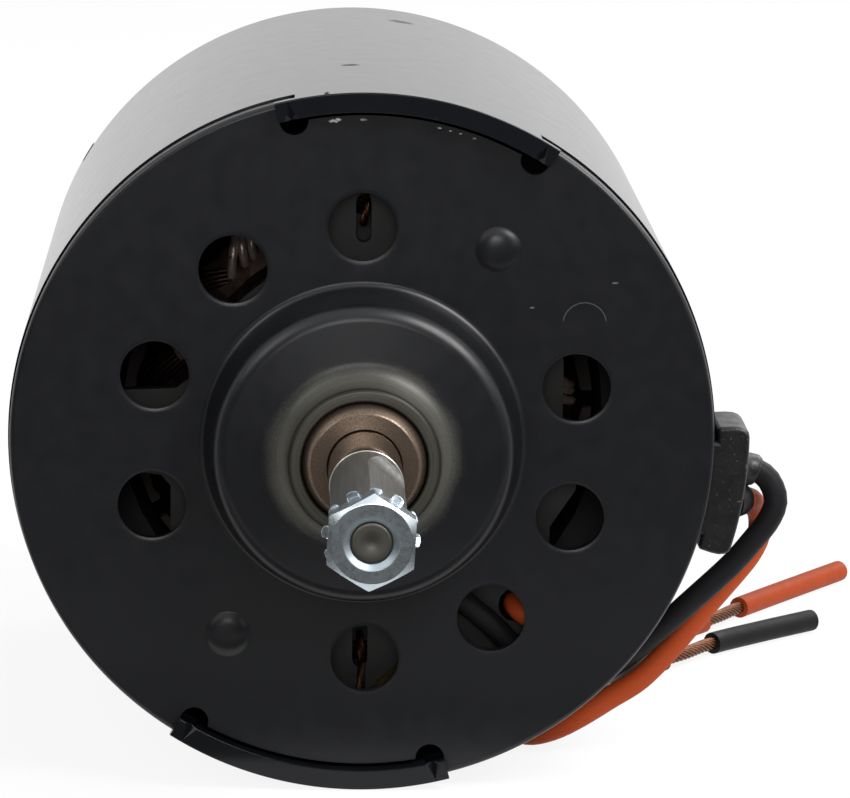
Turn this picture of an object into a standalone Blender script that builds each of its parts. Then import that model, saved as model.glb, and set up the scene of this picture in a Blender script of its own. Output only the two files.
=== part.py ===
"""Car cabin blower motor: a permanent-magnet brushed motor with one shaft for a fan wheel.

Every piece is drawn in the motor's own frame, in millimetres: X to the right, Y up and Z along
the shaft towards its free end, with Z = 0 on the front face of the front end plate. One empty
turns that frame so that the shaft lies level and points along -Y of the world.
"""
import bmesh
import bpy
import math
from mathutils import Matrix, Vector

MM = 0.001
TAU = 2 * math.pi

# Clearances
SEAT = 0.3
RUNNING = 0.3
AIR_GAP = 0.75

# Rolled steel yoke and its staked tabs
YOKE_R = 39.0
YOKE_WALL = 2.2
MOTOR_LENGTH = 82.7
TAB_PROUD = 1.4
FRONT_TAB_MIDDLES = (81.0, 261.0)
REAR_TAB_MIDDLES = (171.0, 351.0)
TAB_HALF_SPAN = 20.4
EAR_SPAN = 3.4
STAKE_WIDTH = 1.6
STAKE_DEPTH = 0.9
RELIEF_R = 1.6
RELIEF_OFFSET = 0.9

# End plates
PLATE_T = 2.2
PLATE_INSET = 0.25
PLATE_EDGE = 0.6
VENT_R = 3.75
VENT_SHIFT = 3.975
VENT_ANGLES = (18, 90, 126, 162, 198, 270, 306, 342)
DOME_ANGLES = (54, 234)
DOME_R = 2.55
DOME_RISE = 0.8
DOME_FROM_RIM = 12.05
BOSS_R = 17.6
BOSS_RISE = 6.6
HUB_R = 8.3
HUB_RISE = 10.95
REAR_HUB_RISE = 11.4

# Self-aligning bearings
BALL_R = 7.2
BALL_FACE = 4.27
FRONT_BALL = 7.73
REAR_BALL = 4.7
SLEEVE_MOUTH_R = 6.87
RETAINER_T = 0.6
RETAINER_DROP = 5.08
FELT_BORE_R = 8.7
FELT_T = 1.5

# Shaft, nut and washer
SHAFT_R = 3.97
SHOULDER = 44.2
SHAFT_TAIL = 8.6
JOURNAL_END = 16.8
JOURNAL_STEP = 0.12
THREAD_R = 2.08
THREAD_END = 47.9
FLAT_DEPTH = 1.05
FLAT_START = 20.0
FLAT_ANGLE = 48.0
NUT_FLATS = 8.73
NUT_T = 2.9
NUT_FACE_INSET = 0.99
NUT_MOUTH_R = 2.77
NUT_TURN = -2.7
WASHER_T = 0.5
WASHER_BODY_R = 4.15
WASHER_TOOTH_R = 5.0
WASHER_TEETH = 12
WASHER_TURN = -5.5
WASHER_TWIST = 0.25

# Armature and commutator
CORE_FRONT = -27.0
CORE_SHORTER = 12.0
SLOTS = 12
SLOT_MOUTH = 2.0
SLOT_ROOT_SHARE = 4 / 7
TOOTH_WIDTH = 4.7
TOOTH_LIP = 1.3
TOOTH_SHOULDER = 0.9
INSULATOR_T = 0.8
END_TURN_FRONT = 5.6
END_TURN_REAR = 7.2
END_TURN_INSET = 1.55
END_TURN_DEEPER = 1.6
COMM_R = 12.0
COMM_BAR_T = 2.6
COMM_FRONT = -7.2
COMM_LENGTH = 10.6
RISER_T = 1.5
RISER_R = 13.3
BAR_GAP = 0.6

# Magnets
MAGNET_T = 8.8
MAGNET_FRONT = -20.0
MAGNET_ROOM = 16.7
MAGNET_SPAN = 124.0
CLIP_T = 0.6
CLIP_LENGTH = 30.0
CLIP_LEG = 6.0

# Brush gear
CARD_FRONT = -6.0
CARD_T = 1.6
CARD_HOLE_R = 14.6
CARD_REACH = 34.8
CARD_ROOM = 2.0
CARD_LEAD_HOLE = (17.4, -19.6)
SLOT_WIDTH = 1.7
SLOT_LENGTH = 5.4
BRUSH_W = 6.0
BRUSH_DEEP = 7.2
HOLDER_T = 0.8
HOLDER_GAP = 1.6
HOLDER_INSET = 6.8
SPRING_ROOM = 4.9
SPRING_R = 2.4
SPRING_WIRE_R = 0.3
SPRING_TURNS = 4
PIGTAIL_R = 0.5
PIGTAIL_INSET = 1.7
POST_R = 2.3
POST_STEM_R = 1.2
TERMINAL_T = 0.5

# Lead grommet and leads
GROMMET_ANGLE = -8.0
GROMMET_HALF_SPAN = 10.2
GROMMET_STEM_HALF_SPAN = 8.2
GROMMET_FLANGE_T = 3.6
GROMMET_DEPTH = 9.6
LEAD_R = 1.35
LEAD_HOLE_R = 1.65
LEAD_TILT = 30.0
LEAD_MOUTH_DEPTH = -9.3
BLACK_LEAD_UP = -4.6
ORANGE_LEAD_UP = -8.1
STRANDS_R = 0.8
BLACK_BARE = 6.6
ORANGE_BARE = 6.0
BLACK_SLUG = 18.3
ORANGE_SLUG = 25.6

# Sizes worked out from the driving ones
YOKE_BORE_R = YOKE_R - YOKE_WALL
PLATE_R = YOKE_R - PLATE_INSET
ARMATURE_R = YOKE_BORE_R - SEAT - MAGNET_T - AIR_GAP
YOKE_FRONT = -PLATE_T - SEAT
YOKE_REAR = -MOTOR_LENGTH + PLATE_T + SEAT
VENT_CIRCLE_R = (BOSS_R + PLATE_R) / 2 - VENT_SHIFT
DOME_CIRCLE_R = PLATE_R - DOME_FROM_RIM
POT_R = BOSS_R - PLATE_T - 0.8
RETAINER_R = POT_R - 1.3 * SEAT
FELT_R = RETAINER_R - SEAT
MAGNET_LENGTH = MOTOR_LENGTH + MAGNET_FRONT - MAGNET_ROOM
CORE_LENGTH = MAGNET_LENGTH - CORE_SHORTER
CORE_REAR = CORE_FRONT - CORE_LENGTH
SLOT_ROOT_R = SLOT_ROOT_SHARE * ARMATURE_R
SLOT_OUTER_R = ARMATURE_R - TOOTH_LIP - TOOTH_SHOULDER
SLOT_ROOT_WIDTH = TAU * SLOT_ROOT_R / SLOTS - TOOTH_WIDTH
SLOT_OUTER_WIDTH = TAU * SLOT_OUTER_R / SLOTS - TOOTH_WIDTH
END_TURN_R = ARMATURE_R - END_TURN_INSET
END_TURN_BORE_R = SLOT_ROOT_R - END_TURN_DEEPER
CARD_BACK = CARD_FRONT - CARD_T
HOLDER_FRONT = CARD_BACK - SEAT
HOLDER_FLOOR = HOLDER_FRONT - 2 * SEAT - BRUSH_DEEP
HOLDER_INNER = COMM_R + HOLDER_GAP
HOLDER_OUTER = YOKE_BORE_R - HOLDER_INSET
BRUSH_INNER = COMM_R + SEAT
BRUSH_OUTER = HOLDER_OUTER - HOLDER_T - SPRING_ROOM
PIGTAIL_AT = BRUSH_OUTER - PIGTAIL_INSET
SLOT_INNER = PIGTAIL_AT - PIGTAIL_R - 0.7
SLOT_OUTER = SLOT_INNER + SLOT_LENGTH
CARD_SCALE = (YOKE_BORE_R - CARD_ROOM) / CARD_REACH
LEAD_MOUTH_X = YOKE_R + GROMMET_FLANGE_T
NUT_BACK = SHOULDER + SEAT + WASHER_T + SEAT
NUT_FRONT = NUT_BACK + NUT_T

# Each lead from its hole in the grommet to its cut end, laid by hand
BLACK_ROUTE = [
    (41.2, -4.6, -8.49), (42.8, -4.6, -9.4), (44.6, -4.9, -9.8), (46.0, -6.1, -9.7), (46.7, -8.2, -9.3),
    (46.0, -10.4, -9.3), (44.4, -12.7, -9.6), (41.9, -15.9, -10.2), (37.7, -20.2, -11.0),
    (34.7, -23.3, -11.9), (31.6, -26.5, -13.2), (28.9, -29.4, -15.5), (26.6, -32.4, -18.6),
    (24.4, -35.3, -22.2), (22.5, -37.2, -26.6), (22.1, -37.65, -31.4), (23.9, -37.65, -36.4),
    (27.4, -37.65, -41.2), (31.8, -37.65, -45.6), (36.6, -37.65, -49.6), (41.0, -37.65, -54.2),
    (44.9, -37.65, -59.3), (51.6, -37.65, -65.4), (58.7, -37.65, -71.4),
]
ORANGE_ROUTE = [
    (40.7, -8.1, -8.2), (42.4, -8.1, -9.2), (43.6, -8.3, -10.5), (44.5, -9.2, -12.7), (45.5, -11.0, -14.6),
    (45.6, -13.4, -15.4), (44.7, -15.6, -15.4), (43.1, -17.7, -15.1), (39.0, -22.5, -14.6),
    (35.8, -26.5, -14.4), (32.4, -30.3, -14.2), (29.2, -33.0, -14.1), (25.6, -35.4, -14.1),
    (22.6, -36.5, -14.8), (19.8, -37.4, -16.4), (17.6, -37.65, -19.8), (16.4, -37.65, -24.4),
    (16.2, -37.65, -29.6), (17.4, -37.65, -35.4), (20.2, -37.65, -42.0), (24.6, -37.65, -48.8),
    (30.2, -37.65, -55.0), (36.2, -37.65, -60.8), (42.0, -37.65, -66.8), (47.0, -37.65, -73.0),
    (50.4, -37.65, -78.2), (57.7, -37.65, -88.0), (65.5, -37.65, -98.3),
]


def empty(name, parent=None):
    """An empty at its parent's origin, which carries the pieces of one body."""
    obj = bpy.data.objects.new(name, None)
    bpy.context.collection.objects.link(obj)
    obj.parent = parent
    return obj


def material(name, colour, roughness, metallic=0.0):
    """A Principled material with the part's colour, roughness and metallic value."""
    made = bpy.data.materials.new(name)
    made.use_nodes = True
    shader = made.node_tree.nodes["Principled BSDF"]
    shader.inputs["Base Color"].default_value = (*colour, 1.0)
    shader.inputs["Roughness"].default_value = roughness
    shader.inputs["Metallic"].default_value = metallic
    return made


def add(name, bm, finish, parent, smooth=True):
    """Turns a bmesh drawn in millimetres into an object under its parent."""
    bmesh.ops.scale(bm, vec=(MM, MM, MM), verts=bm.verts)
    bmesh.ops.recalc_face_normals(bm, faces=bm.faces)
    mesh = bpy.data.meshes.new(name)
    bm.to_mesh(mesh)
    bm.free()
    if smooth:
        mesh.shade_smooth()
        mesh.set_sharp_from_angle(angle=math.radians(35))
    obj = bpy.data.objects.new(name, mesh)
    bpy.context.collection.objects.link(obj)
    obj.parent = parent
    if finish:
        mesh.materials.append(finish)
    return obj


def polar(radius, degrees, height=0.0):
    """A point at that radius, angle and height."""
    turn = math.radians(degrees)
    return Vector((radius * math.cos(turn), radius * math.sin(turn), height))


def arc(radius, start, end, steps, centre=(0.0, 0.0)):
    """Points along an arc, both ends included."""
    points = []
    for i in range(steps + 1):
        p = polar(radius, start + (end - start) * i / steps)
        points.append((p.x + centre[0], p.y + centre[1]))
    return points


def mirrored(profile, offset):
    """A front profile of radius and height, turned about for the rear end of the motor."""
    return [(r, offset - h) for r, h in profile]


def spun(profile, steps):
    """A turned piece: radius and height points spun about Z. Ends on the axis close by themselves."""
    bm = bmesh.new()
    verts = [bm.verts.new((r, 0.0, h)) for r, h in profile]
    edges = [bm.edges.new(pair) for pair in zip(verts, verts[1:])]
    if profile[0][0] > 0 or profile[-1][0] > 0:
        edges.append(bm.edges.new((verts[-1], verts[0])))
    bmesh.ops.spin(bm, geom=verts + edges, cent=(0, 0, 0), axis=(0, 0, 1), angle=TAU, steps=steps, use_merge=True)
    bmesh.ops.remove_doubles(bm, verts=bm.verts, dist=1e-5)
    return bm


def extend_prism(bm, outline, low, high, place=None):
    """Adds an outline pulled up from one height to another, moved by a matrix if one is given."""
    floor = bm.faces.new([bm.verts.new((x, y, low)) for x, y in outline])
    pulled = bmesh.ops.extrude_face_region(bm, geom=[floor])["geom"]
    top = [v for v in pulled if isinstance(v, bmesh.types.BMVert)]
    bmesh.ops.translate(bm, vec=(0, 0, high - low), verts=top)
    if place:
        bmesh.ops.transform(bm, matrix=place, verts=list(floor.verts) + top)
    return bm


def prism(outline, low, high, place=None):
    """One outline pulled up from one height to another."""
    return extend_prism(bmesh.new(), outline, low, high, place)


def sector(inner, outer, start, end, steps):
    """The outline of a piece of a ring."""
    return arc(outer, start, end, steps) + arc(inner, end, start, steps)


def extend_cylinder(bm, radius, low, high, steps, place=None):
    """Adds a round bar along Z."""
    turn = Matrix.Translation((0, 0, (low + high) / 2))
    made = bmesh.ops.create_cone(
        bm, cap_ends=True, segments=steps, radius1=radius, radius2=radius, depth=high - low, matrix=turn
    )
    if place:
        bmesh.ops.transform(bm, matrix=place, verts=made["verts"])
    return bm


def boolean(target, bm, name, operation="DIFFERENCE"):
    """Cuts the target by a guide shape, or joins or trims it to one."""
    guide = add(name, bm, None, target.parent, smooth=False)
    guide.hide_render = True
    guide.display_type = "WIRE"
    step = target.modifiers.new(name, "BOOLEAN")
    step.operation = operation
    step.object = guide
    return guide


def smooth_curve(points):
    """Close points along a smooth curve through the given ones."""
    knots = [Vector(p) for p in points]
    knots = [2 * knots[0] - knots[1]] + knots + [2 * knots[-1] - knots[-2]]
    fine = []
    for a, b, c, d in zip(knots, knots[1:], knots[2:], knots[3:]):
        for i in range(12):
            t = i / 12
            fine.append(
                0.5 * (2 * b + (c - a) * t + (2 * a - 5 * b + 4 * c - d) * t ** 2 + (3 * b - a - 3 * c + d) * t ** 3)
            )
    fine.append(knots[-2])
    return fine


def length_of(path):
    """The length of a run of points."""
    return sum((q - p).length for p, q in zip(path, path[1:]))


def stretch(path, start, stop, spacing):
    """Even points along a path, from one distance along it to another."""
    count = max(2, round((stop - start) / spacing))
    wanted = [start + (stop - start) * i / count for i in range(count + 1)]
    found = []
    walked = 0.0
    for p, q in zip(path, path[1:]):
        step = (q - p).length
        while wanted and walked + step >= wanted[0] - 1e-6:
            found.append(p.lerp(q, (wanted.pop(0) - walked) / step))
        walked += step
    return found


def tube(name, path, radius, finish, parent, rounding=2):
    """A plain round wire or lead: a curve with a round bevel and closed ends."""
    curve = bpy.data.curves.new(name, "CURVE")
    curve.dimensions = "3D"
    curve.bevel_depth = radius * MM
    curve.bevel_resolution = rounding
    curve.use_fill_caps = True
    spline = curve.splines.new("POLY")
    spline.points.add(len(path) - 1)
    for knot, p in zip(spline.points, path):
        knot.co = (p[0] * MM, p[1] * MM, p[2] * MM, 1.0)
    curve.materials.append(finish)
    obj = bpy.data.objects.new(name, curve)
    bpy.context.collection.objects.link(obj)
    obj.parent = parent
    return obj


def smooth_tube(name, points, radius, spacing, finish, parent):
    """A tube along a smooth curve through the given points."""
    path = smooth_curve(points)
    return tube(name, stretch(path, 0.0, length_of(path), spacing), radius, finish, parent)


def make_materials():
    """The finishes, by name."""
    return {
        "black_paint": material("black_paint", (0.016, 0.017, 0.020), 0.42),
        "bronze": material("sintered_bronze", (0.22, 0.15, 0.10), 0.45, 0.8),
        "steel": material("bright_steel", (0.56, 0.55, 0.53), 0.25, 1.0),
        "spring_steel": material("spring_steel", (0.30, 0.30, 0.31), 0.35, 1.0),
        "felt": material("oiled_felt", (0.16, 0.12, 0.08), 0.95),
        "laminations": material("lamination_steel", (0.25, 0.25, 0.26), 0.45, 1.0),
        "copper_wire": material("enamelled_copper", (0.42, 0.16, 0.08), 0.35, 0.9),
        "copper": material("bare_copper", (0.72, 0.38, 0.25), 0.30, 1.0),
        "fibre": material("fibre_board", (0.20, 0.09, 0.05), 0.70),
        "phenolic": material("phenolic_board", (0.055, 0.038, 0.028), 0.55),
        "ferrite": material("ferrite", (0.05, 0.05, 0.055), 0.75),
        "brass": material("brass_strip", (0.62, 0.47, 0.22), 0.35, 1.0),
        "carbon": material("carbon", (0.03, 0.03, 0.032), 0.60),
        "zinc": material("bright_zinc_plate", (0.66, 0.71, 0.74), 0.25, 1.0),
        "rubber": material("moulded_rubber", (0.018, 0.018, 0.019), 0.55),
        "black_pvc": material("black_lead_cover", (0.020, 0.020, 0.021), 0.40),
        "orange_pvc": material("orange_lead_cover", (0.48, 0.085, 0.022), 0.42),
    }


def rim_gaps(bm, middles, low, high):
    """Adds the stretches of rim between the tabs and their ears."""
    reach = TAB_HALF_SPAN + EAR_SPAN
    for i, middle in enumerate(middles):
        start = middle + reach
        end = middles[(i + 1) % 2] - reach + (360 if i else 0)
        extend_prism(bm, sector(YOKE_BORE_R - 3, YOKE_R + 3, start, end, 30), low, high)
    return bm


def tab_ends(middles):
    """Each end of each tab: its angle, and the side it faces, as 1 or -1."""
    return [(middle + side * TAB_HALF_SPAN, side) for middle in middles for side in (1, -1)]


def make_yoke(finishes, axis):
    """The rolled tube with two tabs at each end, staked over the end plates."""
    ends = [
        (YOKE_FRONT, TAB_PROUD, 1, FRONT_TAB_MIDDLES),
        (YOKE_REAR, -MOTOR_LENGTH - TAB_PROUD, -1, REAR_TAB_MIDDLES),
    ]
    top = TAB_PROUD
    bottom = -MOTOR_LENGTH - TAB_PROUD
    edge = 0.25
    profile = [
        (YOKE_BORE_R, top), (YOKE_R - edge, top), (YOKE_R, top - edge),
        (YOKE_R, bottom + edge), (YOKE_R - edge, bottom), (YOKE_BORE_R, bottom),
    ]
    yoke = add("yoke", spun(profile, 72), finishes["black_paint"], axis)

    rims = bmesh.new()
    under_ears = bmesh.new()
    stakes = bmesh.new()
    for seat, tip, way, middles in ends:
        beyond = tip + 3 * way
        rim_gaps(rims, middles, min(seat, beyond), max(seat, beyond))
        face = SEAT * way if way > 0 else -MOTOR_LENGTH - SEAT
        for angle, side in tab_ends(middles):
            far = angle + side * (EAR_SPAN + 0.5)
            outline = sector(YOKE_BORE_R - 2, YOKE_R + 2, min(angle, far), max(angle, far), 3)
            extend_prism(under_ears, outline, min(seat, face), max(seat, face))
            add_stake(stakes, angle + side * math.degrees(STAKE_WIDTH / 2 / YOKE_R), tip, way)
    boolean(yoke, rims, "cutter_yoke_rims")
    boolean(yoke, under_ears, "cutter_yoke_under_ears")
    boolean(yoke, stakes, "cutter_yoke_stakes")

    half = GROMMET_STEM_HALF_SPAN
    notch = prism(
        sector(YOKE_BORE_R - 2, YOKE_R + 2, GROMMET_ANGLE - half, GROMMET_ANGLE + half, 6),
        YOKE_FRONT - GROMMET_DEPTH, YOKE_FRONT + 1,
    )
    boolean(yoke, notch, "cutter_yoke_notch")
    return yoke


def add_stake(bm, angle, tip, way):
    """Adds the chisel mark that spreads an ear: a wedge, deep inside the tube and shallow outside."""
    half = math.degrees(STAKE_WIDTH / 2 / YOKE_BORE_R)
    above = tip + 0.3 * way
    corners = [
        bm.verts.new(polar(YOKE_R + 0.6, angle, above)),
        bm.verts.new(polar(YOKE_BORE_R - 0.5, angle - 1.3 * half, above)),
        bm.verts.new(polar(YOKE_BORE_R - 0.5, angle + 1.3 * half, above)),
        bm.verts.new(polar(YOKE_BORE_R - 0.5, angle, tip - STAKE_DEPTH * way)),
    ]
    for trio in ((0, 1, 2), (0, 1, 3), (1, 2, 3), (2, 0, 3)):
        bm.faces.new([corners[i] for i in trio])


def boss_outside():
    """Radius and height points of a plate's outer side, from the rim in to the hub."""
    return [
        (PLATE_R, -PLATE_T), (PLATE_R, -PLATE_EDGE), (PLATE_R - 0.3 * PLATE_EDGE, -0.3 * PLATE_EDGE),
        (PLATE_R - PLATE_EDGE, 0.0), (BOSS_R + 0.5, 0.0), (BOSS_R, 0.2), (BOSS_R - 0.45, 0.9),
        (BOSS_R - 1.1, BOSS_RISE - 1.4), (BOSS_R - 1.4, BOSS_RISE - 0.7), (BOSS_R - 2.0, BOSS_RISE - 0.2),
        (BOSS_R - 2.8, BOSS_RISE), (HUB_R + 2.6, BOSS_RISE + 0.5), (HUB_R + 1.4, BOSS_RISE + 0.9),
        (HUB_R + 0.7, BOSS_RISE + 1.6),
    ]


def boss_inside():
    """Radius and height points of a plate's inner side, from the hub out to the rim."""
    return [
        (BALL_R + SEAT, BOSS_RISE - PLATE_T + 0.4), (POT_R - 0.5, BOSS_RISE - PLATE_T + 0.1),
        (POT_R, BOSS_RISE - PLATE_T - 0.5), (POT_R + 0.4, -PLATE_T + 0.7), (POT_R + 1.0, -PLATE_T),
    ]


def cut_rim(plate, name, middles, height_of):
    """Cuts the plate's rim for the tabs of the yoke, with a round relief at each tab end."""
    low, high = height_of(-PLATE_T - 1), height_of(2.0)
    low, high = min(low, high), max(low, high)
    slots = bmesh.new()
    reliefs = bmesh.new()
    inner = YOKE_BORE_R - 1.5 * SEAT
    for middle in middles:
        reach = TAB_HALF_SPAN + RELIEF_OFFSET
        extend_prism(slots, sector(inner, YOKE_R + 2, middle - reach, middle + reach, 12), low, high)
    for angle, side in tab_ends(middles):
        at = polar(inner + 0.2, angle + side * RELIEF_OFFSET)
        extend_cylinder(reliefs, RELIEF_R, low - 1, high + 1, 14, Matrix.Translation(at))
    boolean(plate, slots, "cutter_" + name + "_tabs")
    boolean(plate, reliefs, "cutter_" + name + "_reliefs")


def make_front_plate(finishes, axis):
    """The stamped front end plate: vents, domes and a drawn boss that holds the bearing."""
    mouth = FRONT_BALL + math.sqrt((BALL_R + SEAT) ** 2 - SLEEVE_MOUTH_R ** 2)
    seat_point = polar(BALL_R + SEAT, 12)
    profile = boss_outside() + [
        (HUB_R + 0.15, HUB_RISE - 1.7), (HUB_R - 0.1, HUB_RISE - 0.45), (HUB_R - 0.45, HUB_RISE - 0.1),
        (SLEEVE_MOUTH_R + 0.25, HUB_RISE), (SLEEVE_MOUTH_R, mouth),
        (seat_point.x, FRONT_BALL + seat_point.y), (BALL_R + SEAT, FRONT_BALL),
    ] + boss_inside()
    plate = add("front_end_plate", spun(profile, 40), finishes["black_paint"], axis)
    domes = bmesh.new()
    for angle in DOME_ANGLES:
        radius = (DOME_R ** 2 + DOME_RISE ** 2) / (2 * DOME_RISE)
        foot = -PLATE_T / 5
        reach = math.acos((foot - DOME_RISE) / radius + 1)
        profile = [(0.0, foot)]
        for k in (4, 3, 2, 1, 0):
            turn = reach * k / 4
            profile.append((radius * math.sin(turn), DOME_RISE - radius * (1 - math.cos(turn))))
        cap = spun(profile, 16)
        bmesh.ops.translate(cap, vec=polar(DOME_CIRCLE_R, angle), verts=cap.verts)
        copy = bpy.data.meshes.new("dome")
        cap.to_mesh(copy)
        cap.free()
        domes.from_mesh(copy)
        bpy.data.meshes.remove(copy)
    boolean(plate, domes, "guide_plate_domes", "UNION")
    vents = bmesh.new()
    for angle in VENT_ANGLES:
        extend_cylinder(vents, VENT_R, -PLATE_T - 1, 1, 20, Matrix.Translation(polar(VENT_CIRCLE_R, angle)))
    boolean(plate, vents, "cutter_plate_vents")
    cut_rim(plate, "plate", FRONT_TAB_MIDDLES, lambda h: h)
    return plate


def make_rear_plate(finishes, axis):
    """The rear end plate: the same stamping with no vents and a closed hub."""
    cup = BALL_R + SEAT
    profile = boss_outside() + [
        (HUB_R + 0.2, REAR_HUB_RISE - 1.8), (HUB_R - 0.6, REAR_HUB_RISE - 0.5), (HUB_R - 2.0, REAR_HUB_RISE),
        (0.0, REAR_HUB_RISE), (0.0, REAR_BALL + BALL_FACE + SEAT), (6.1, REAR_BALL + BALL_FACE + SEAT),
        (cup - 0.45, REAR_BALL + 2.6), (cup, REAR_BALL + 0.2),
    ] + boss_inside()
    closed = profile.index((0.0, REAR_HUB_RISE)) + 1
    order = profile[closed:] + profile[:closed]
    plate = add("rear_end_plate", spun(mirrored(order, -MOTOR_LENGTH), 32), finishes["black_paint"], axis)
    cut_rim(plate, "rear_plate", REAR_TAB_MIDDLES, lambda h: -MOTOR_LENGTH - h)
    return plate


def ball_profile(centre, way):
    """A bronze ball cut flat at both ends, with a bore. way is 1 where its face looks forwards."""
    bore = SHAFT_R + RUNNING
    face = math.sqrt(BALL_R ** 2 - BALL_FACE ** 2)
    rows = [(bore, BALL_FACE), (face - 0.35, BALL_FACE), (face + 0.05, BALL_FACE - 0.3)]
    for degrees in (24, 12, 0, -12, -24):
        p = polar(BALL_R, degrees)
        rows.append((p.x, p.y))
    rows += [(face, -BALL_FACE), (bore, -BALL_FACE)]
    return [(r, centre + way * h) for r, h in rows]


def retainer_profile(centre, way):
    """A pressed ring that holds the ball in its seat."""
    lip = BALL_R - 0.65
    rows = [
        (lip, -3.65), (lip + 0.45, -3.65), (lip + 1.75, -RETAINER_DROP), (RETAINER_R, -RETAINER_DROP),
        (RETAINER_R, -RETAINER_DROP - RETAINER_T), (lip + 1.45, -RETAINER_DROP - RETAINER_T), (lip, -4.2),
    ]
    return [(r, centre + way * h) for r, h in rows]


def ring_profile(bore, radius, low, high):
    """A plain ring."""
    return [(bore, low), (radius, low), (radius, high), (bore, high)]


def make_bearings(finishes, axis):
    """Each bearing set: the ball, its retainer and the felt that oils it."""
    rear_offset = -MOTOR_LENGTH - REAR_BALL
    for end, centre, way in (("front", FRONT_BALL, 1), ("rear", rear_offset, -1)):
        add(end + "_bearing", spun(ball_profile(centre, way), 28), finishes["bronze"], axis)
        add(end + "_bearing_retainer", spun(retainer_profile(centre, way), 24), finishes["spring_steel"], axis)
        near = centre - way * (RETAINER_DROP - SEAT)
        felt = sorted((near, near + way * FELT_T))
        add(end + "_felt_wick", spun(ring_profile(FELT_BORE_R, FELT_R, *felt), 20), finishes["felt"], axis)


def make_shaft(finishes, rotor):
    """The ground shaft with its journal, its flat for the fan wheel and its threaded end."""
    tail = -MOTOR_LENGTH - SHAFT_TAIL
    profile = [
        (0.0, tail), (SHAFT_R - 0.5, tail), (SHAFT_R, tail + 0.5), (SHAFT_R, JOURNAL_END - JOURNAL_STEP),
        (SHAFT_R - JOURNAL_STEP, JOURNAL_END), (SHAFT_R - JOURNAL_STEP, SHOULDER - 0.4),
        (SHAFT_R - 0.4, SHOULDER), (THREAD_R, SHOULDER), (THREAD_R, THREAD_END - 0.3),
        (THREAD_R - 0.3, THREAD_END), (0.0, THREAD_END),
    ]
    shaft = add("shaft", spun(profile, 32), finishes["steel"], rotor)
    depth = SHAFT_R - FLAT_DEPTH
    side = [(FLAT_START - 2.2, SHAFT_R + 1), (FLAT_START, depth), (SHOULDER + 1, depth), (SHOULDER + 1, SHAFT_R + 1)]
    turned = (
        Matrix.Rotation(math.radians(FLAT_ANGLE), 4, "Z")
        @ Matrix(((0, 1, 0, 0), (0, 0, 1, 0), (1, 0, 0, 0), (0, 0, 0, 1)))
    )
    boolean(shaft, prism(side, -SHAFT_R - 1, SHAFT_R + 1, turned), "cutter_shaft_flat")
    return shaft


def make_nut(finishes, rotor):
    """The hex nut and the toothed lock washer behind it."""
    corner = NUT_FLATS / 2 / math.cos(math.pi / 6)
    bore = THREAD_R + RUNNING
    hexagon = [tuple(polar(corner, 90 + NUT_TURN + 60 * i).xy) for i in range(6)]
    nut = add("hex_nut", prism(hexagon, NUT_BACK, NUT_FRONT + 0.5), finishes["zinc"], rotor)
    turned = [
        (bore, NUT_BACK - 0.5), (corner + 1, NUT_BACK - 0.5), (corner + 1, NUT_FRONT - 1.1),
        (corner - NUT_FACE_INSET, NUT_FRONT), (NUT_MOUTH_R, NUT_FRONT), (bore, NUT_FRONT + bore - NUT_MOUTH_R),
    ]
    boolean(nut, spun(turned, 24), "guide_nut_turning", "INTERSECT")

    back = SHOULDER + SEAT
    bm = bmesh.new()
    outline = []
    pitch = 360 / WASHER_TEETH
    for i in range(WASHER_TEETH):
        at = WASHER_TURN + i * pitch
        outline += [
            (WASHER_BODY_R, at - 0.40 * pitch, 0.0), (WASHER_TOOTH_R, at - 0.24 * pitch, 1.0),
            (WASHER_TOOTH_R, at + 0.24 * pitch, -1.0), (WASHER_BODY_R, at + 0.40 * pitch, 0.0),
        ]
    rings = []
    for level in (back, back + WASHER_T):
        outer = [bm.verts.new(polar(r, a, level + WASHER_TWIST * twist)) for r, a, twist in outline]
        inner = [bm.verts.new(polar(bore, a, level)) for r, a, twist in outline]
        rings.append((outer, inner))
    (low_out, low_in), (high_out, high_in) = rings
    for j in range(len(outline)):
        k = (j + 1) % len(outline)
        bm.faces.new((low_out[j], low_out[k], high_out[k], high_out[j]))
        bm.faces.new((low_in[k], low_in[j], high_in[j], high_in[k]))
        bm.faces.new((high_out[j], high_out[k], high_in[k], high_in[j]))
        bm.faces.new((low_out[k], low_out[j], low_in[j], low_in[k]))
    add("lock_washer", bm, finishes["zinc"], rotor, smooth=False)
    return nut


def slotted_outline():
    """The outline of one armature stamping: teeth with lips, and a slot between each pair."""
    points = []
    tip = math.sqrt(ARMATURE_R ** 2 - (SLOT_MOUTH / 2) ** 2)
    for i in range(SLOTS):
        turn = Matrix.Rotation(TAU * i / SLOTS, 2)
        half_mouth, half_root, half_outer = SLOT_MOUTH / 2, SLOT_ROOT_WIDTH / 2, SLOT_OUTER_WIDTH / 2
        slot = [
            (tip, -half_mouth), (ARMATURE_R - TOOTH_LIP, -half_mouth), (SLOT_OUTER_R, -half_outer),
            (SLOT_ROOT_R, -half_root), (SLOT_ROOT_R, half_root), (SLOT_OUTER_R, half_outer),
            (ARMATURE_R - TOOTH_LIP, half_mouth), (tip, half_mouth),
        ]
        points += [tuple(turn @ Vector(p)) for p in slot]
        middle = TAU * (i + 0.5) / SLOTS
        points.append((ARMATURE_R * math.cos(middle), ARMATURE_R * math.sin(middle)))
    return points


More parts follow.
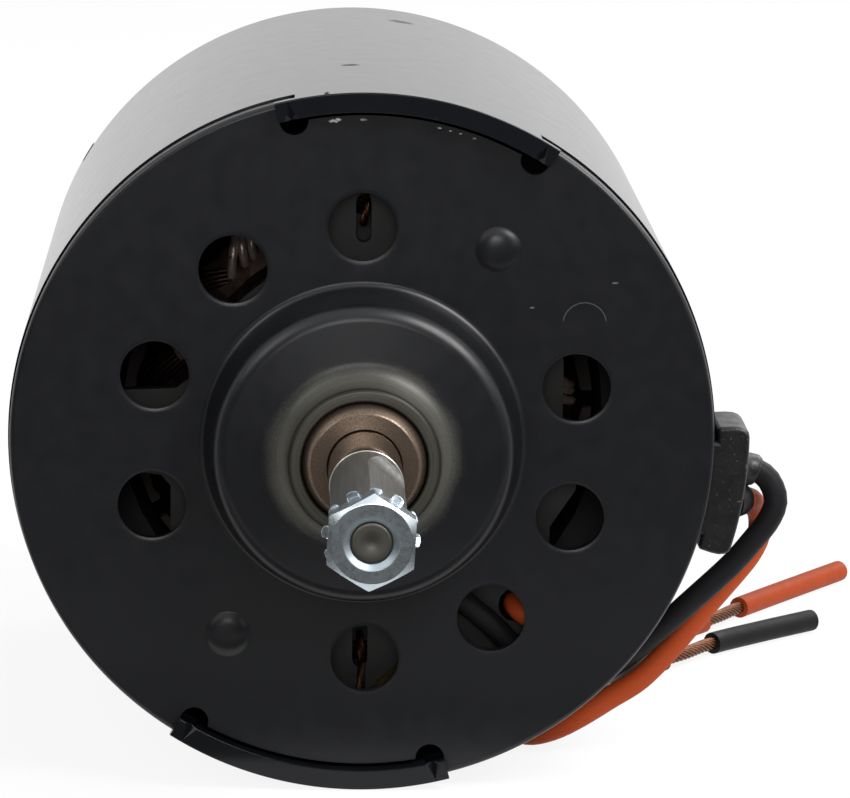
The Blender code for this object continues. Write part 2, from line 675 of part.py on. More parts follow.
def make_armature(finishes, rotor):
    """The slotted core, its end insulators and the winding that fills the slots."""
    core = add("armature_core", prism(slotted_outline(), CORE_REAR, CORE_FRONT), finishes["laminations"], rotor)
    bore = extend_cylinder(bmesh.new(), SHAFT_R + SEAT, CORE_REAR - 1, CORE_FRONT + 1, 32)
    boolean(core, bore, "cutter_core_bore")
    front = CORE_FRONT + SEAT + INSULATOR_T
    rear = CORE_REAR - SEAT - INSULATOR_T
    for end, low in (("front", front - INSULATOR_T), ("rear", rear)):
        star = add(end + "_insulator", prism(slotted_outline(), low, low + INSULATOR_T), finishes["fibre"], rotor)
        hole = extend_cylinder(bmesh.new(), SHAFT_R + SEAT, low - 1, low + 2, 32)
        boolean(star, hole, "cutter_" + end + "_insulator_bore")

    winding_front = front + SEAT
    winding_rear = rear - SEAT
    middle_r = (END_TURN_BORE_R + END_TURN_R) / 2
    front_ring = [
        (END_TURN_BORE_R, winding_front), (END_TURN_R - 0.6, winding_front), (END_TURN_R, winding_front + 1.2),
        (END_TURN_R - 1.4, winding_front + 0.75 * END_TURN_FRONT), (middle_r, winding_front + END_TURN_FRONT),
        (END_TURN_BORE_R + 1.2, winding_front + 0.8 * END_TURN_FRONT), (END_TURN_BORE_R, winding_front + 1.6),
    ]
    winding = add("armature_winding", lobed(spun(front_ring, 3 * SLOTS)), finishes["copper_wire"], rotor)
    bars = bmesh.new()
    grip = 1.5 * SEAT
    outer = SLOT_OUTER_R - grip
    inner = SLOT_ROOT_R + grip
    for i in range(SLOTS):
        half_in = SLOT_ROOT_WIDTH / 2 - grip
        half_out = SLOT_OUTER_WIDTH / 2 - 1.5 * grip
        wedge = [(inner, -half_in), (outer, -half_out), (outer, half_out), (inner, half_in)]
        turn = Matrix.Rotation(TAU * i / SLOTS, 4, "Z")
        extend_prism(bars, wedge, winding_rear - 0.8, winding_front + 0.8, turn)
    boolean(winding, bars, "guide_winding_bars", "UNION")
    rear_ring = [
        (END_TURN_BORE_R, winding_rear), (END_TURN_BORE_R, winding_rear - 1.6),
        (END_TURN_BORE_R + 1.2, winding_rear - 0.8 * END_TURN_REAR), (middle_r, winding_rear - END_TURN_REAR),
        (END_TURN_R - 1.4, winding_rear - 0.75 * END_TURN_REAR), (END_TURN_R, winding_rear - 1.2),
        (END_TURN_R - 0.6, winding_rear),
    ]
    boolean(winding, lobed(spun(rear_ring, 3 * SLOTS)), "guide_winding_rear", "UNION")


def lobed(bm):
    """Swells a ring at each slot, as the end turns do."""
    for v in bm.verts:
        radius = math.hypot(v.co.x, v.co.y)
        swell = 1 + 0.018 * math.cos(SLOTS * math.atan2(v.co.y, v.co.x))
        if radius > (END_TURN_BORE_R + END_TURN_R) / 2 + 1:
            v.co.x *= swell
            v.co.y *= swell
    return bm


def make_commutator(finishes, rotor):
    """The moulded hub and the copper bars, each with its riser."""
    rear = COMM_FRONT - COMM_LENGTH - RISER_T
    hub_r = COMM_R - COMM_BAR_T - SEAT
    hub = ring_profile(SHAFT_R + SEAT, hub_r, rear, COMM_FRONT + 0.8)
    add("commutator_hub", spun(hub, 24), finishes["phenolic"], rotor)
    pitch = 360 / SLOTS
    for i in range(SLOTS):
        slack = math.degrees(BAR_GAP / 2 / COMM_R)
        start, end = pitch * (i - 0.5) + slack, pitch * (i + 0.5) - slack
        bm = bmesh.new()
        rows = []
        inner = COMM_R - COMM_BAR_T
        for radius, height in (
            (inner, COMM_FRONT), (COMM_R, COMM_FRONT), (COMM_R, rear + RISER_T), (RISER_R, rear + RISER_T),
            (RISER_R, rear), (inner, rear),
        ):
            rows.append([bm.verts.new(polar(radius, start + (end - start) * k / 3, height)) for k in range(4)])
        for near, far in zip(rows, rows[1:] + rows[:1]):
            for k in range(3):
                bm.faces.new((near[k], near[k + 1], far[k + 1], far[k]))
        for k in (0, 3):
            bm.faces.new([row[k] for row in rows])
        add("commutator_bar_{:02d}".format(i + 1), bm, finishes["copper"], rotor)


def make_shaft_rings(finishes, rotor):
    """The thrust washer at each bearing and the oil slinger behind the front one."""
    bore = SHAFT_R + SEAT
    front = FRONT_BALL - BALL_FACE - SEAT
    rear = -MOTOR_LENGTH - REAR_BALL + BALL_FACE + SEAT
    add("front_thrust_washer", spun(ring_profile(bore, 5.9, front - 0.5, front), 20), finishes["fibre"], rotor)
    add("rear_thrust_washer", spun(ring_profile(bore, 5.9, rear, rear + 0.5), 20), finishes["fibre"], rotor)
    low = front - 0.5 - SEAT
    cup = [
        (bore, low), (bore, low - 1.0), (5.6, low - 1.0), (7.6, low - 2.4), (8.2, low - 2.1), (6.1, low),
    ]
    add("oil_slinger", spun(cup, 20), finishes["spring_steel"], rotor)


def make_magnets(finishes, axis):
    """Two ferrite arcs, held apart against the yoke by two spring clips."""
    outer = YOKE_BORE_R - SEAT
    inner = outer - MAGNET_T
    rear = MAGNET_FRONT - MAGNET_LENGTH
    for name, middle in (("right_magnet", 0.0), ("left_magnet", 180.0)):
        shape = sector(inner, outer, middle - MAGNET_SPAN / 2, middle + MAGNET_SPAN / 2, 14)
        add(name, prism(shape, rear, MAGNET_FRONT), finishes["ferrite"], axis)
    room = math.degrees(2 * SEAT / outer)
    half = 90 - MAGNET_SPAN / 2 - room
    thin = math.degrees(CLIP_T / outer)
    low = MAGNET_FRONT - (MAGNET_LENGTH + CLIP_LENGTH) / 2
    for name, middle in (("upper_magnet_clip", 90.0), ("lower_magnet_clip", 270.0)):
        outline = arc(outer, middle - half, middle + half, 8)
        outline += arc(outer - CLIP_LEG, middle + half, middle + half - thin, 1)
        outline += arc(outer - CLIP_T, middle + half - thin, middle - half + thin, 8)
        outline += arc(outer - CLIP_LEG, middle - half + thin, middle - half, 1)
        add(name, prism(outline, low, low + CLIP_LENGTH), finishes["spring_steel"], axis)


def make_brush_card(finishes, axis):
    """The phenolic board that carries the brush gear, on two posts welded to the front plate."""
    outline = [
        (22.3, 9.5), (22.3, 1.0), (24.5, -5.5), (20.5, -11.5), (24.0, -17.5), (22.5, -24.5), (15.5, -31.0),
        (5.0, -34.5), (-6.0, -34.0), (-15.0, -29.5), (-20.5, -23.5), (-19.0, -17.0), (-21.2, -12.0),
        (-21.2, -5.0), (-30.0, -4.0), (-30.0, 4.6), (-19.5, 5.0), (-17.5, 11.0), (-13.5, 15.0), (-9.0, 18.5),
        (-8.0, 25.0), (-7.5, 33.5), (3.0, 34.8), (12.5, 32.0), (19.5, 25.5), (20.0, 18.0),
    ]
    outline = [(x * CARD_SCALE, y * CARD_SCALE) for x, y in outline]
    card = prism(outline, CARD_BACK, CARD_FRONT)
    upright = [e for e in card.edges if abs(e.verts[0].co.z - e.verts[1].co.z) > 1]
    bmesh.ops.bevel(card, geom=upright, offset=1.1, offset_type="OFFSET", segments=1, affect="EDGES")
    card = add("brush_card", card, finishes["phenolic"], axis)
    middle = extend_cylinder(bmesh.new(), CARD_HOLE_R, CARD_BACK - 1, CARD_FRONT + 1, 28)
    for way in (1, -1):
        half = SLOT_WIDTH / 2
        near, far = sorted((way * (SLOT_INNER + half), way * (SLOT_OUTER - half)))
        slot = arc(half, 180, 360, 6, (0, near)) + arc(half, 0, 180, 6, (0, far))
        extend_prism(middle, slot, CARD_BACK - 1, CARD_FRONT + 1)
    for angle in DOME_ANGLES:
        place = Matrix.Translation(polar(DOME_CIRCLE_R, angle))
        extend_cylinder(middle, POST_STEM_R + SEAT, CARD_BACK - 1, CARD_FRONT + 1, 12, place)
    lead_hole = Matrix.Translation((CARD_LEAD_HOLE[0] * CARD_SCALE, CARD_LEAD_HOLE[1] * CARD_SCALE, 0))
    extend_cylinder(middle, LEAD_R + 2 * SEAT, CARD_BACK - 1, CARD_FRONT + 1, 12, lead_hole)
    boolean(card, middle, "cutter_card_holes")

    head = CARD_BACK - SEAT
    post = [
        (0.0, -PLATE_T - SEAT), (POST_R, -PLATE_T - SEAT), (POST_R, CARD_FRONT + SEAT),
        (POST_STEM_R, CARD_FRONT + SEAT), (POST_STEM_R, head), (POST_R, head), (POST_R, head - 0.4),
        (POST_R - 0.5, head - 0.9), (0.0, head - 0.9),
    ]
    for i, angle in enumerate(DOME_ANGLES):
        bm = spun(post, 12)
        bmesh.ops.translate(bm, vec=polar(DOME_CIRCLE_R, angle), verts=bm.verts)
        add("card_post_{}".format(i + 1), bm, finishes["steel"], axis)


def make_brush_gear(finishes, axis):
    """Above and below the shaft: a channel, the brush that slides in it, its spring and its pigtail."""
    for name, way in (("upper", 1), ("lower", -1)):
        slide = empty(name + "_brush_slide", axis)
        inside = BRUSH_W / 2 + SEAT
        outside = inside + HOLDER_T
        back = HOLDER_FLOOR - HOLDER_T
        channel = [
            (-outside, HOLDER_FRONT), (-outside, back), (outside, back), (outside, HOLDER_FRONT),
            (inside, HOLDER_FRONT), (inside, HOLDER_FLOOR), (-inside, HOLDER_FLOOR), (-inside, HOLDER_FRONT),
        ]
        upright = Matrix(((1, 0, 0, 0), (0, 0, way, 0), (0, 1, 0, 0), (0, 0, 0, 1)))
        holder = prism(channel, HOLDER_INNER, HOLDER_OUTER, upright)
        holder = add(name + "_brush_holder", holder, finishes["brass"], axis, smooth=False)
        wall = [(-outside, HOLDER_FRONT), (-outside, back), (outside, back), (outside, HOLDER_FRONT)]
        end_wall = prism(wall, HOLDER_OUTER - HOLDER_T, HOLDER_OUTER + 0.2, upright)
        boolean(holder, end_wall, "guide_" + name + "_holder_end", "UNION")

        top = HOLDER_FRONT - SEAT
        block = [
            (-BRUSH_W / 2, top), (-BRUSH_W / 2, top - BRUSH_DEEP + SEAT), (BRUSH_W / 2, top - BRUSH_DEEP + SEAT),
            (BRUSH_W / 2, top),
        ]
        brush = prism(block, BRUSH_INNER, BRUSH_OUTER, upright)
        add(name + "_brush", brush, finishes["carbon"], slide, smooth=False)

        start = BRUSH_OUTER + SEAT + SPRING_WIRE_R
        stop = HOLDER_OUTER - HOLDER_T - SEAT - SPRING_WIRE_R
        level = top - BRUSH_DEEP / 2
        coil = []
        for i in range(SPRING_TURNS * 8 + 1):
            turn = math.radians(45 * i)
            along = start + (stop - start) * i / (SPRING_TURNS * 8)
            coil.append((SPRING_R * math.cos(turn), way * along, level + SPRING_R * math.sin(turn)))
        tube(name + "_brush_spring", coil, SPRING_WIRE_R, finishes["spring_steel"], axis, 1)

        outward = PIGTAIL_AT
        wire = [
            (0.0, way * outward, top + SEAT), (0.0, way * outward, CARD_FRONT - 0.4),
            (0.05, way * (outward + 0.25), CARD_FRONT + 0.7), (0.1, way * (outward + 1.3), CARD_FRONT + 1.35),
            (0.1, way * (outward + 3.4), CARD_FRONT + 1.3), (0.1, way * (outward + 6.2), CARD_FRONT + 1.1),
            (0.1, way * (outward + 8.6), CARD_FRONT + 1.1),
        ]
        smooth_tube(name + "_pigtail", wire, PIGTAIL_R, 1.1, finishes["copper"], slide)

    near = 0.1 + PIGTAIL_R + SEAT
    foot, head = PIGTAIL_AT + 6.2, PIGTAIL_AT + 10.0
    upper = [(near, foot), (5.2, foot), (5.2, head), (near, head)]
    lower = [
        (near, -head - 0.8), (4.6, -head - 0.8), (9.6, -head + 7.6), (10.0, -head + 15.0), (7.2, -head + 15.0),
        (6.9, -head + 9.0), (near, -foot - 0.6),
    ]
    low = CARD_FRONT + SEAT
    for name, outline in (("upper_terminal", upper), ("lower_terminal", lower)):
        plate = prism(outline, low, low + TERMINAL_T)
        add(name, plate, finishes["brass"], axis, smooth=False)


def make_grommet(finishes, axis):
    """The moulded block in the yoke's notch, with one hole for each lead."""
    half, stem = GROMMET_HALF_SPAN, GROMMET_STEM_HALF_SPAN - math.degrees(SEAT / YOKE_R)
    lift = YOKE_R + SEAT
    inside = YOKE_BORE_R - SEAT
    outer = lift + GROMMET_FLANGE_T
    low, high = GROMMET_ANGLE - half, GROMMET_ANGLE + half
    outline = arc(outer, low + 0.8, high - 0.8, 8) + [tuple(polar(outer - 0.6, high).xy)]
    outline += arc(lift, high, GROMMET_ANGLE + stem, 1) + arc(inside, GROMMET_ANGLE + stem, high - 0.4, 1)
    outline += arc(inside - 1.4, high - 0.4, low + 0.4, 6) + arc(inside, low + 0.4, GROMMET_ANGLE - stem, 1)
    outline += arc(lift, GROMMET_ANGLE - stem, low, 1) + [tuple(polar(outer - 0.6, low).xy)]
    back = YOKE_FRONT - GROMMET_DEPTH + SEAT
    grommet = add("lead_grommet", prism(outline, back, YOKE_FRONT), finishes["rubber"], axis)
    holes = bmesh.new()
    along = Matrix.Rotation(math.radians(90 + LEAD_TILT), 4, "Y")
    for up in (BLACK_LEAD_UP, ORANGE_LEAD_UP):
        place = Matrix.Translation((LEAD_MOUTH_X, up, LEAD_MOUTH_DEPTH)) @ along
        extend_cylinder(holes, LEAD_HOLE_R, -12, 4, 16, place)
    boolean(grommet, holes, "cutter_grommet_holes")


def make_leads(finishes, axis):
    """The leads: the run inside the motor, the run outside, the bared strands and the slug of cover on them."""
    black, orange = finishes["black_pvc"], finishes["orange_pvc"]
    fall = math.tan(math.radians(LEAD_TILT))

    def in_hole(inside, up):
        return (LEAD_MOUTH_X - inside, up, LEAD_MOUTH_DEPTH + inside * fall)

    def by_card(points):
        return [(x * CARD_SCALE, y * CARD_SCALE, z) for x, y, z in points]

    black_inner = [in_hole(inside, BLACK_LEAD_UP) for inside in (1.7, 4.2, 6.4, 8.4)] + by_card([
        (32.5, -4.9, -5.0), (31.8, -6.8, -6.7), (31.5, -10.2, -7.5), (30.4, -15.4, -7.5), (28.4, -20.0, -7.2),
        (25.9, -23.4, -5.8), (23.2, -25.7, -4.3), (20.3, -26.4, -4.1), (17.9, -24.8, -4.1), (15.2, -21.9, -4.1),
        (12.4, -19.5, -4.1), (11.2, -18.6, -4.1),
    ])
    orange_inner = [in_hole(inside, ORANGE_LEAD_UP) for inside in (2.2, 4.4, 6.6, 8.4)] + by_card([
        (32.2, -8.8, -4.1), (31.0, -11.8, -4.1), (28.2, -16.6, -4.1), (24.0, -20.1, -4.1), (20.6, -20.9, -4.15),
        (18.5, -20.3, -4.5), (17.5, -19.7, -5.8), (CARD_LEAD_HOLE[0], CARD_LEAD_HOLE[1], -7.2),
    ])
    smooth_tube("black_lead_inner", black_inner, LEAD_R - 0.05, 3.0, black, axis)
    smooth_tube("orange_lead_inner", orange_inner, LEAD_R - 0.05, 3.0, orange, axis)
    for name, route, bare, slug, finish in (
        ("black_lead", BLACK_ROUTE, BLACK_BARE, BLACK_SLUG, black),
        ("orange_lead", ORANGE_ROUTE, ORANGE_BARE, ORANGE_SLUG, orange),
    ):
        path = smooth_curve(route)
        end = length_of(path)
        strands_at = end - slug - bare
        tube(name, stretch(path, 0.0, strands_at - SEAT, 3.6), LEAD_R, finish, axis)
        bared = stretch(path, strands_at, strands_at + bare - SEAT, 2.4)
        tube(name + "_strands", bared, STRANDS_R, finishes["copper"], axis)
        tube(name + "_slug", stretch(path, end - slug, end, 6.0), LEAD_R, finish, axis)


def main():
    """Clears the scene and builds the motor."""
    for obj in list(bpy.data.objects):
        bpy.data.objects.remove(obj)
    axis = empty("motor_axis")
    axis.rotation_euler = (math.pi / 2, 0, 0)
    rotor = empty("rotor_axis", axis)
    finishes = make_materials()
    make_yoke(finishes, axis)
    make_front_plate(finishes, axis)
    make_rear_plate(finishes, axis)
    make_bearings(finishes, axis)
    make_shaft(finishes, rotor)
    make_nut(finishes, rotor)
    make_armature(finishes, rotor)
    make_commutator(finishes, rotor)
    make_shaft_rings(finishes, rotor)
    make_magnets(finishes, axis)
    make_brush_card(finishes, axis)
    make_brush_gear(finishes, axis)
    make_grommet(finishes, axis)
    make_leads(finishes, axis)


main()
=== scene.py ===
import functools
import math

import bmesh
import bpy
from bpy.props import FloatProperty, FloatVectorProperty, IntProperty, PointerProperty
from mathutils import Matrix, Vector


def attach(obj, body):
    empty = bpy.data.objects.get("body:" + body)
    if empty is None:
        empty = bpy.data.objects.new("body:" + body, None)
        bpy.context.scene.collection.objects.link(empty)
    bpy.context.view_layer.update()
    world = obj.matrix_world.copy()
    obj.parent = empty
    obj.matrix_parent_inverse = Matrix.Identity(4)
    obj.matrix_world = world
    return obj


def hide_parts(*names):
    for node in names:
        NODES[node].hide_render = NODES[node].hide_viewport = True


bl_info = {
    "name": "Cabin blower motor",
    "version": (1, 0, 0),
    "blender": (4, 5, 0),
    "location": "View3D > Sidebar > Blower motor",
    "description": "Builds a car cabin blower motor with its finishes, leads and stage",
    "category": "Object",
}

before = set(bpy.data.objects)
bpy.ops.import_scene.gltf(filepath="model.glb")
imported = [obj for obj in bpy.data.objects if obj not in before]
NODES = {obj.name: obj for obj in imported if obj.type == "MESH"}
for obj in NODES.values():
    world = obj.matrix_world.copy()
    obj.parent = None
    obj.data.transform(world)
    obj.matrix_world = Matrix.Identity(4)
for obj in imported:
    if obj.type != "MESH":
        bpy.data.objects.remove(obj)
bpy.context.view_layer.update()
MM = 0.001
TAU = 2 * math.pi
# The motor's own axes are x right, y up and z out of the shaft's end, in millimetres
TO_WORLD = Matrix.Rotation(math.pi / 2, 4, "X") @ Matrix.Scale(MM, 4)

# The height of the front bearing's centre over the plate's face, where the motor's axes start
BALL_CENTRE = 7.73
# The angles of the yoke's tabs at its two ends
FRONT_TABS, REAR_TABS = (81.0, 261.0), (171.0, 351.0)

# Each lead from its hole in the grommet to its cut end, in millimetres
BLACK_ROUTE = [
    (41.2, -4.6, -8.49), (42.8, -4.6, -9.4), (44.6, -4.9, -9.8), (46.0, -6.1, -9.7), (46.7, -8.2, -9.3),
    (46.0, -10.4, -9.3), (44.4, -12.7, -9.6), (41.9, -15.9, -10.2), (37.7, -20.2, -11.0),
    (34.7, -23.3, -11.9), (31.6, -26.5, -13.2), (28.9, -29.4, -15.5), (26.6, -32.4, -18.6),
    (24.4, -35.3, -22.2), (22.5, -37.2, -26.6), (22.1, -37.65, -31.4), (23.9, -37.65, -36.4),
    (27.4, -37.65, -41.2), (31.8, -37.65, -45.6), (36.6, -37.65, -49.6), (41.0, -37.65, -54.2),
    (44.9, -37.65, -59.3), (51.6, -37.65, -65.4), (58.7, -37.65, -71.4),
]
ORANGE_ROUTE = [
    (40.7, -8.1, -8.2), (42.4, -8.1, -9.2), (43.6, -8.3, -10.5), (44.5, -9.2, -12.7), (45.5, -11.0, -14.6),
    (45.6, -13.4, -15.4), (44.7, -15.6, -15.4), (43.1, -17.7, -15.1), (39.0, -22.5, -14.6),
    (35.8, -26.5, -14.4), (32.3, -30.2, -14.2), (28.8, -32.5, -14.1), (25.2, -34.8, -14.1),
    (22.4, -36.4, -14.8), (19.8, -37.4, -16.4), (17.6, -37.65, -19.8), (16.4, -37.65, -24.4),
    (16.2, -37.65, -29.6), (17.4, -37.65, -35.4), (20.2, -37.65, -42.0), (24.6, -37.65, -48.8),
    (30.2, -37.65, -55.0), (36.2, -37.65, -60.8), (42.0, -37.65, -66.8), (47.0, -37.65, -73.0),
    (50.4, -37.65, -78.2), (57.7, -37.65, -88.0), (65.5, -37.65, -98.3),
]
# The same leads inside the motor, from the grommet's hole to the brush gear
MOUTH_X, MOUTH_DEPTH, HOLE_TILT = 42.6, -9.3, math.radians(30)
BLACK_UP, ORANGE_UP = -4.6, -8.1
BLACK_INSIDE = [
    (32.5, -4.9, -5.0), (31.8, -6.8, -6.7), (31.5, -10.2, -7.5), (30.4, -15.4, -7.5), (28.4, -20.0, -7.2),
    (25.9, -23.4, -5.8), (23.2, -25.7, -4.3), (20.3, -26.4, -4.1), (17.9, -24.8, -4.1), (15.2, -21.9, -4.1),
    (12.4, -19.5, -4.1), (11.2, -18.6, -4.1),
]
ORANGE_INSIDE = [
    (32.2, -8.8, -4.1), (31.0, -11.8, -4.1), (28.2, -16.6, -4.1), (24.0, -20.1, -4.1), (20.6, -20.9, -4.15),
    (18.5, -20.3, -4.5), (17.5, -19.7, -5.8), (17.4, -19.6, -7.2),
]


def linear(code):
    """Turns an sRGB hex colour into the linear values that a shader takes."""
    values = [int(code[i:i + 2], 16) / 255 for i in (0, 2, 4)]
    return tuple(v / 12.92 if v <= 0.04045 else ((v + 0.055) / 1.055) ** 2.4 for v in values)


def length_property(label, about, default_mm):
    """A length in metres that the panel shows in the scene's own unit."""
    default = default_mm * MM
    return FloatProperty(name=label, description=about, default=default, subtype="DISTANCE", unit="LENGTH")


def colour_property(label, about, code):
    """A colour with its default given in sRGB."""
    return FloatVectorProperty(name=label, description=about, default=linear(code), subtype="COLOR", size=3)


class BlowerCaseSettings(bpy.types.PropertyGroup):
    yoke_radius: length_property("Yoke radius", "Outer radius of the rolled steel tube", 39.0)
    yoke_wall: length_property("Yoke wall", "Thickness of the tube", 2.2)
    case_length: length_property("Case length", "Distance between the end plates' outer faces", 82.7)
    tab_rise: length_property("Tab rise", "How far the tabs stand out over a plate", 1.4)
    vent_radius: length_property("Vent radius", "Radius of the air holes in the front plate", 3.75)
    vent_circle: length_property("Vent circle", "Radius of the circle that the air holes lie on", 24.2)
    dome_circle: length_property("Dome circle", "Radius of the circle that the weld domes lie on", 26.1)
    paint: colour_property("Paint", "Colour of the baked enamel", "0f1013")
    bare_steel: colour_property("Bare steel", "Colour of the hub where the paint thins out", "55544d")


class BlowerTurningSettings(bpy.types.PropertyGroup):
    shaft_radius: length_property("Shaft radius", "Radius of the ground shaft", 3.97)
    shaft_reach: length_property("Shaft reach", "From the plate's face to the shaft's shoulder", 44.2)
    nut_flats: length_property("Nut size", "Distance across the nut's flats", 8.73)
    wire_radius: length_property("Wire radius", "Radius of the armature's magnet wire", 0.42)
    coil_wires: IntProperty(name="Wires in a coil", description="Wires in each coil's end turn", default=9)
    coils: IntProperty(name="Coils", description="Coils, one for each slot of the core", default=12)
    bronze: colour_property("Bronze", "Colour of the oil-filled bearing", "7d6d60")
    zinc: colour_property("Zinc", "Colour of the plated nut and washer", "dae4ea")


class BlowerLeadSettings(bpy.types.PropertyGroup):
    lead_radius: length_property("Lead radius", "Radius of each lead over its cover", 1.35)
    strand_radius: length_property("Strand radius", "Radius of one copper strand", 0.17)
    black_bare: length_property("Black lead's bare length", "Copper that shows on the black lead", 10.4)
    black_slug: length_property("Black lead's slug", "Piece of cover at the black lead's end", 18.3)
    orange_bare: length_property("Orange lead's bare length", "Copper that shows on the orange lead", 9.2)
    orange_slug: length_property("Orange lead's slug", "Piece of cover at the orange lead's end", 25.6)
    black_cover: colour_property("Black cover", "Colour of the black lead's cover", "18181a")
    orange_cover: colour_property("Orange cover", "Colour of the orange lead's cover", "953c1a")


# ---------------------------------------------------------------- shapes

def link(obj):
    """Puts an object in the scene."""
    bpy.context.scene.collection.objects.link(obj)
    return obj


def polar(radius, degrees, height=0.0):
    """A point at that radius, angle and height on the motor's axis."""
    turn = math.radians(degrees)
    return Vector((radius * math.cos(turn), radius * math.sin(turn), height))


def arc(radius, start, end, steps):
    """Points of an arc, both ends included."""
    return [tuple(polar(radius, start + (end - start) * i / steps).xy) for i in range(steps + 1)]


def rounded(corners, steps=5):
    """A profile through corners of radius, height and fillet radius, with each fillet drawn as an arc."""
    points = []
    count = len(corners)
    for i, (x, y, fillet) in enumerate(corners):
        here = Vector((x, y))
        if fillet <= 0 or i in (0, count - 1):
            points.append((x, y))
            continue
        before, after = Vector(corners[i - 1][:2]) - here, Vector(corners[i + 1][:2]) - here
        half = before.angle(after) / 2
        back = min(fillet / math.tan(half), 0.48 * before.length, 0.48 * after.length)
        middle = here + (before.normalized() + after.normalized()).normalized() * back / math.cos(half)
        a, b = here + before.normalized() * back, here + after.normalized() * back
        for k in range(steps + 1):
            spoke = (a - middle).lerp(b - middle, k / steps)
            points.append(tuple(middle + spoke.normalized() * (a - middle).length))
    return points


def spun(profile, steps):
    """A turned shape: radius and height points spun about the motor's axis."""
    bm = bmesh.new()
    verts = [bm.verts.new((r, 0.0, h)) for r, h in profile]
    edges = [bm.edges.new(pair) for pair in zip(verts, verts[1:])]
    if profile[0][0] > 0 or profile[-1][0] > 0:
        edges.append(bm.edges.new((verts[-1], verts[0])))
    bmesh.ops.spin(
        bm, geom=verts + edges, cent=(0, 0, 0), axis=(0, 0, 1), angle=TAU, steps=steps, use_merge=True,
    )
    bmesh.ops.remove_doubles(bm, verts=bm.verts, dist=1e-4)
    bmesh.ops.recalc_face_normals(bm, faces=bm.faces)
    return bm


def prism(outline, low, high, place=None, bm=None):
    """An outline pulled up from one height to another, in its own mesh or added to one."""
    bm = bm or bmesh.new()
    floor = bm.faces.new([bm.verts.new((x, y, low)) for x, y in outline])
    pulled = bmesh.ops.extrude_face_region(bm, geom=[floor])["geom"]
    top = [v for v in pulled if isinstance(v, bmesh.types.BMVert)]
    bmesh.ops.translate(bm, vec=(0, 0, high - low), verts=top)
    if place:
        bmesh.ops.transform(bm, matrix=place, verts=list(floor.verts) + top)
    bmesh.ops.recalc_face_normals(bm, faces=bm.faces)
    return bm


def sector(inner, outer, start, end, steps):
    """The outline of a piece of a ring."""
    return arc(outer, start, end, steps) + arc(inner, end, start, steps)


def joined(shapes):
    """One mesh from several, each freed afterwards."""
    whole = bmesh.new()
    for shape in shapes:
        copy = bpy.data.meshes.new("copy")
        shape.to_mesh(copy)
        shape.free()
        whole.from_mesh(copy)
        bpy.data.meshes.remove(copy)
    return whole


def drawn(name, bm):
    """An object with that mesh, still in millimetres on the motor's own axes."""
    mesh = bpy.data.meshes.new(name)
    bm.to_mesh(mesh)
    bm.free()
    return link(bpy.data.objects.new(name, mesh))


def shaped(obj, guides):
    """Cuts or joins guide shapes into an object, one by one, and keeps the result as a plain mesh."""
    for operation, bm in guides:
        guide = drawn("guide", bm)
        step = obj.modifiers.new("guide", "BOOLEAN")
        step.operation, step.solver, step.object = operation, "EXACT", guide
        bake_modifiers(obj)
        bpy.data.objects.remove(guide)
    return obj


def evaluated(obj):
    """The plain mesh that an object's curve or modifiers give."""
    graph = bpy.context.evaluated_depsgraph_get()
    graph.update()
    return bpy.data.meshes.new_from_object(obj.evaluated_get(graph))


def bake_modifiers(obj):
    """Turns a mesh object's modifiers into its plain mesh."""
    mesh, old = evaluated(obj), obj.data
    obj.modifiers.clear()
    obj.data = mesh
    bpy.data.meshes.remove(old)
    return obj


def bevelled(obj, width, angle=50, segments=2):
    """Rounds the sharp edges of an object a little, as stamping, moulding and plating do."""
    step = obj.modifiers.new("edges", "BEVEL")
    step.width, step.segments, step.limit_method = width, segments, "ANGLE"
    step.angle_limit = math.radians(angle)
    step.use_clamp_overlap = True
    return bake_modifiers(obj)


def seated(obj, body, nodes=()):
    """Rides an object on a body and hides the CAD nodes that it stands for."""
    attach(obj, body)
    if nodes:
        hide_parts(*nodes)
    return obj


def settled(obj, material, body, nodes=(), smooth=35):
    """Takes an object from the drawing to its place in the world, smooths it and seats it with its finish."""
    mesh = obj.data
    mesh.transform(TO_WORLD)
    bm = bmesh.new()
    bm.from_mesh(mesh)
    bmesh.ops.remove_doubles(bm, verts=bm.verts, dist=2e-6)
    bmesh.ops.dissolve_degenerate(bm, edges=bm.edges, dist=1e-6)
    bmesh.ops.recalc_face_normals(bm, faces=bm.faces)
    bm.to_mesh(mesh)
    bm.free()
    mesh.materials.clear()
    mesh.materials.append(material)
    mesh.shade_smooth()
    mesh.set_sharp_from_angle(angle=math.radians(smooth))
    even = obj.modifiers.new("even shading", "WEIGHTED_NORMAL")
    even.keep_sharp = True
    return seated(bake_modifiers(obj), body, nodes)


def smooth_curve(points, per_span=12):
    """Close points along a smooth curve through the given ones."""
    knots = [Vector(p) for p in points]
    knots = [2 * knots[0] - knots[1]] + knots + [2 * knots[-1] - knots[-2]]
    fine = []
    for a, b, c, d in zip(knots, knots[1:], knots[2:], knots[3:]):
        for i in range(per_span):
            t = i / per_span
            bend, twist = 2 * a - 5 * b + 4 * c - d, 3 * b - a - 3 * c + d
            fine.append(0.5 * (2 * b + (c - a) * t + bend * t ** 2 + twist * t ** 3))
    fine.append(knots[-2])
    return fine


def length_of(path):
    """The length of a run of points."""
    return sum((q - p).length for p, q in zip(path, path[1:]))


def stretch(path, start, stop, spacing):
    """Even points along a path, from one distance along it to another."""
    count = max(2, round((stop - start) / spacing))
    wanted = [start + (stop - start) * i / count for i in range(count + 1)]
    found = []
    walked = 0.0
    for p, q in zip(path, path[1:]):
        step = (q - p).length
        while wanted and walked + step >= wanted[0] - 1e-6:
            found.append(p.lerp(q, (wanted.pop(0) - walked) / step))
        walked += step
    return found


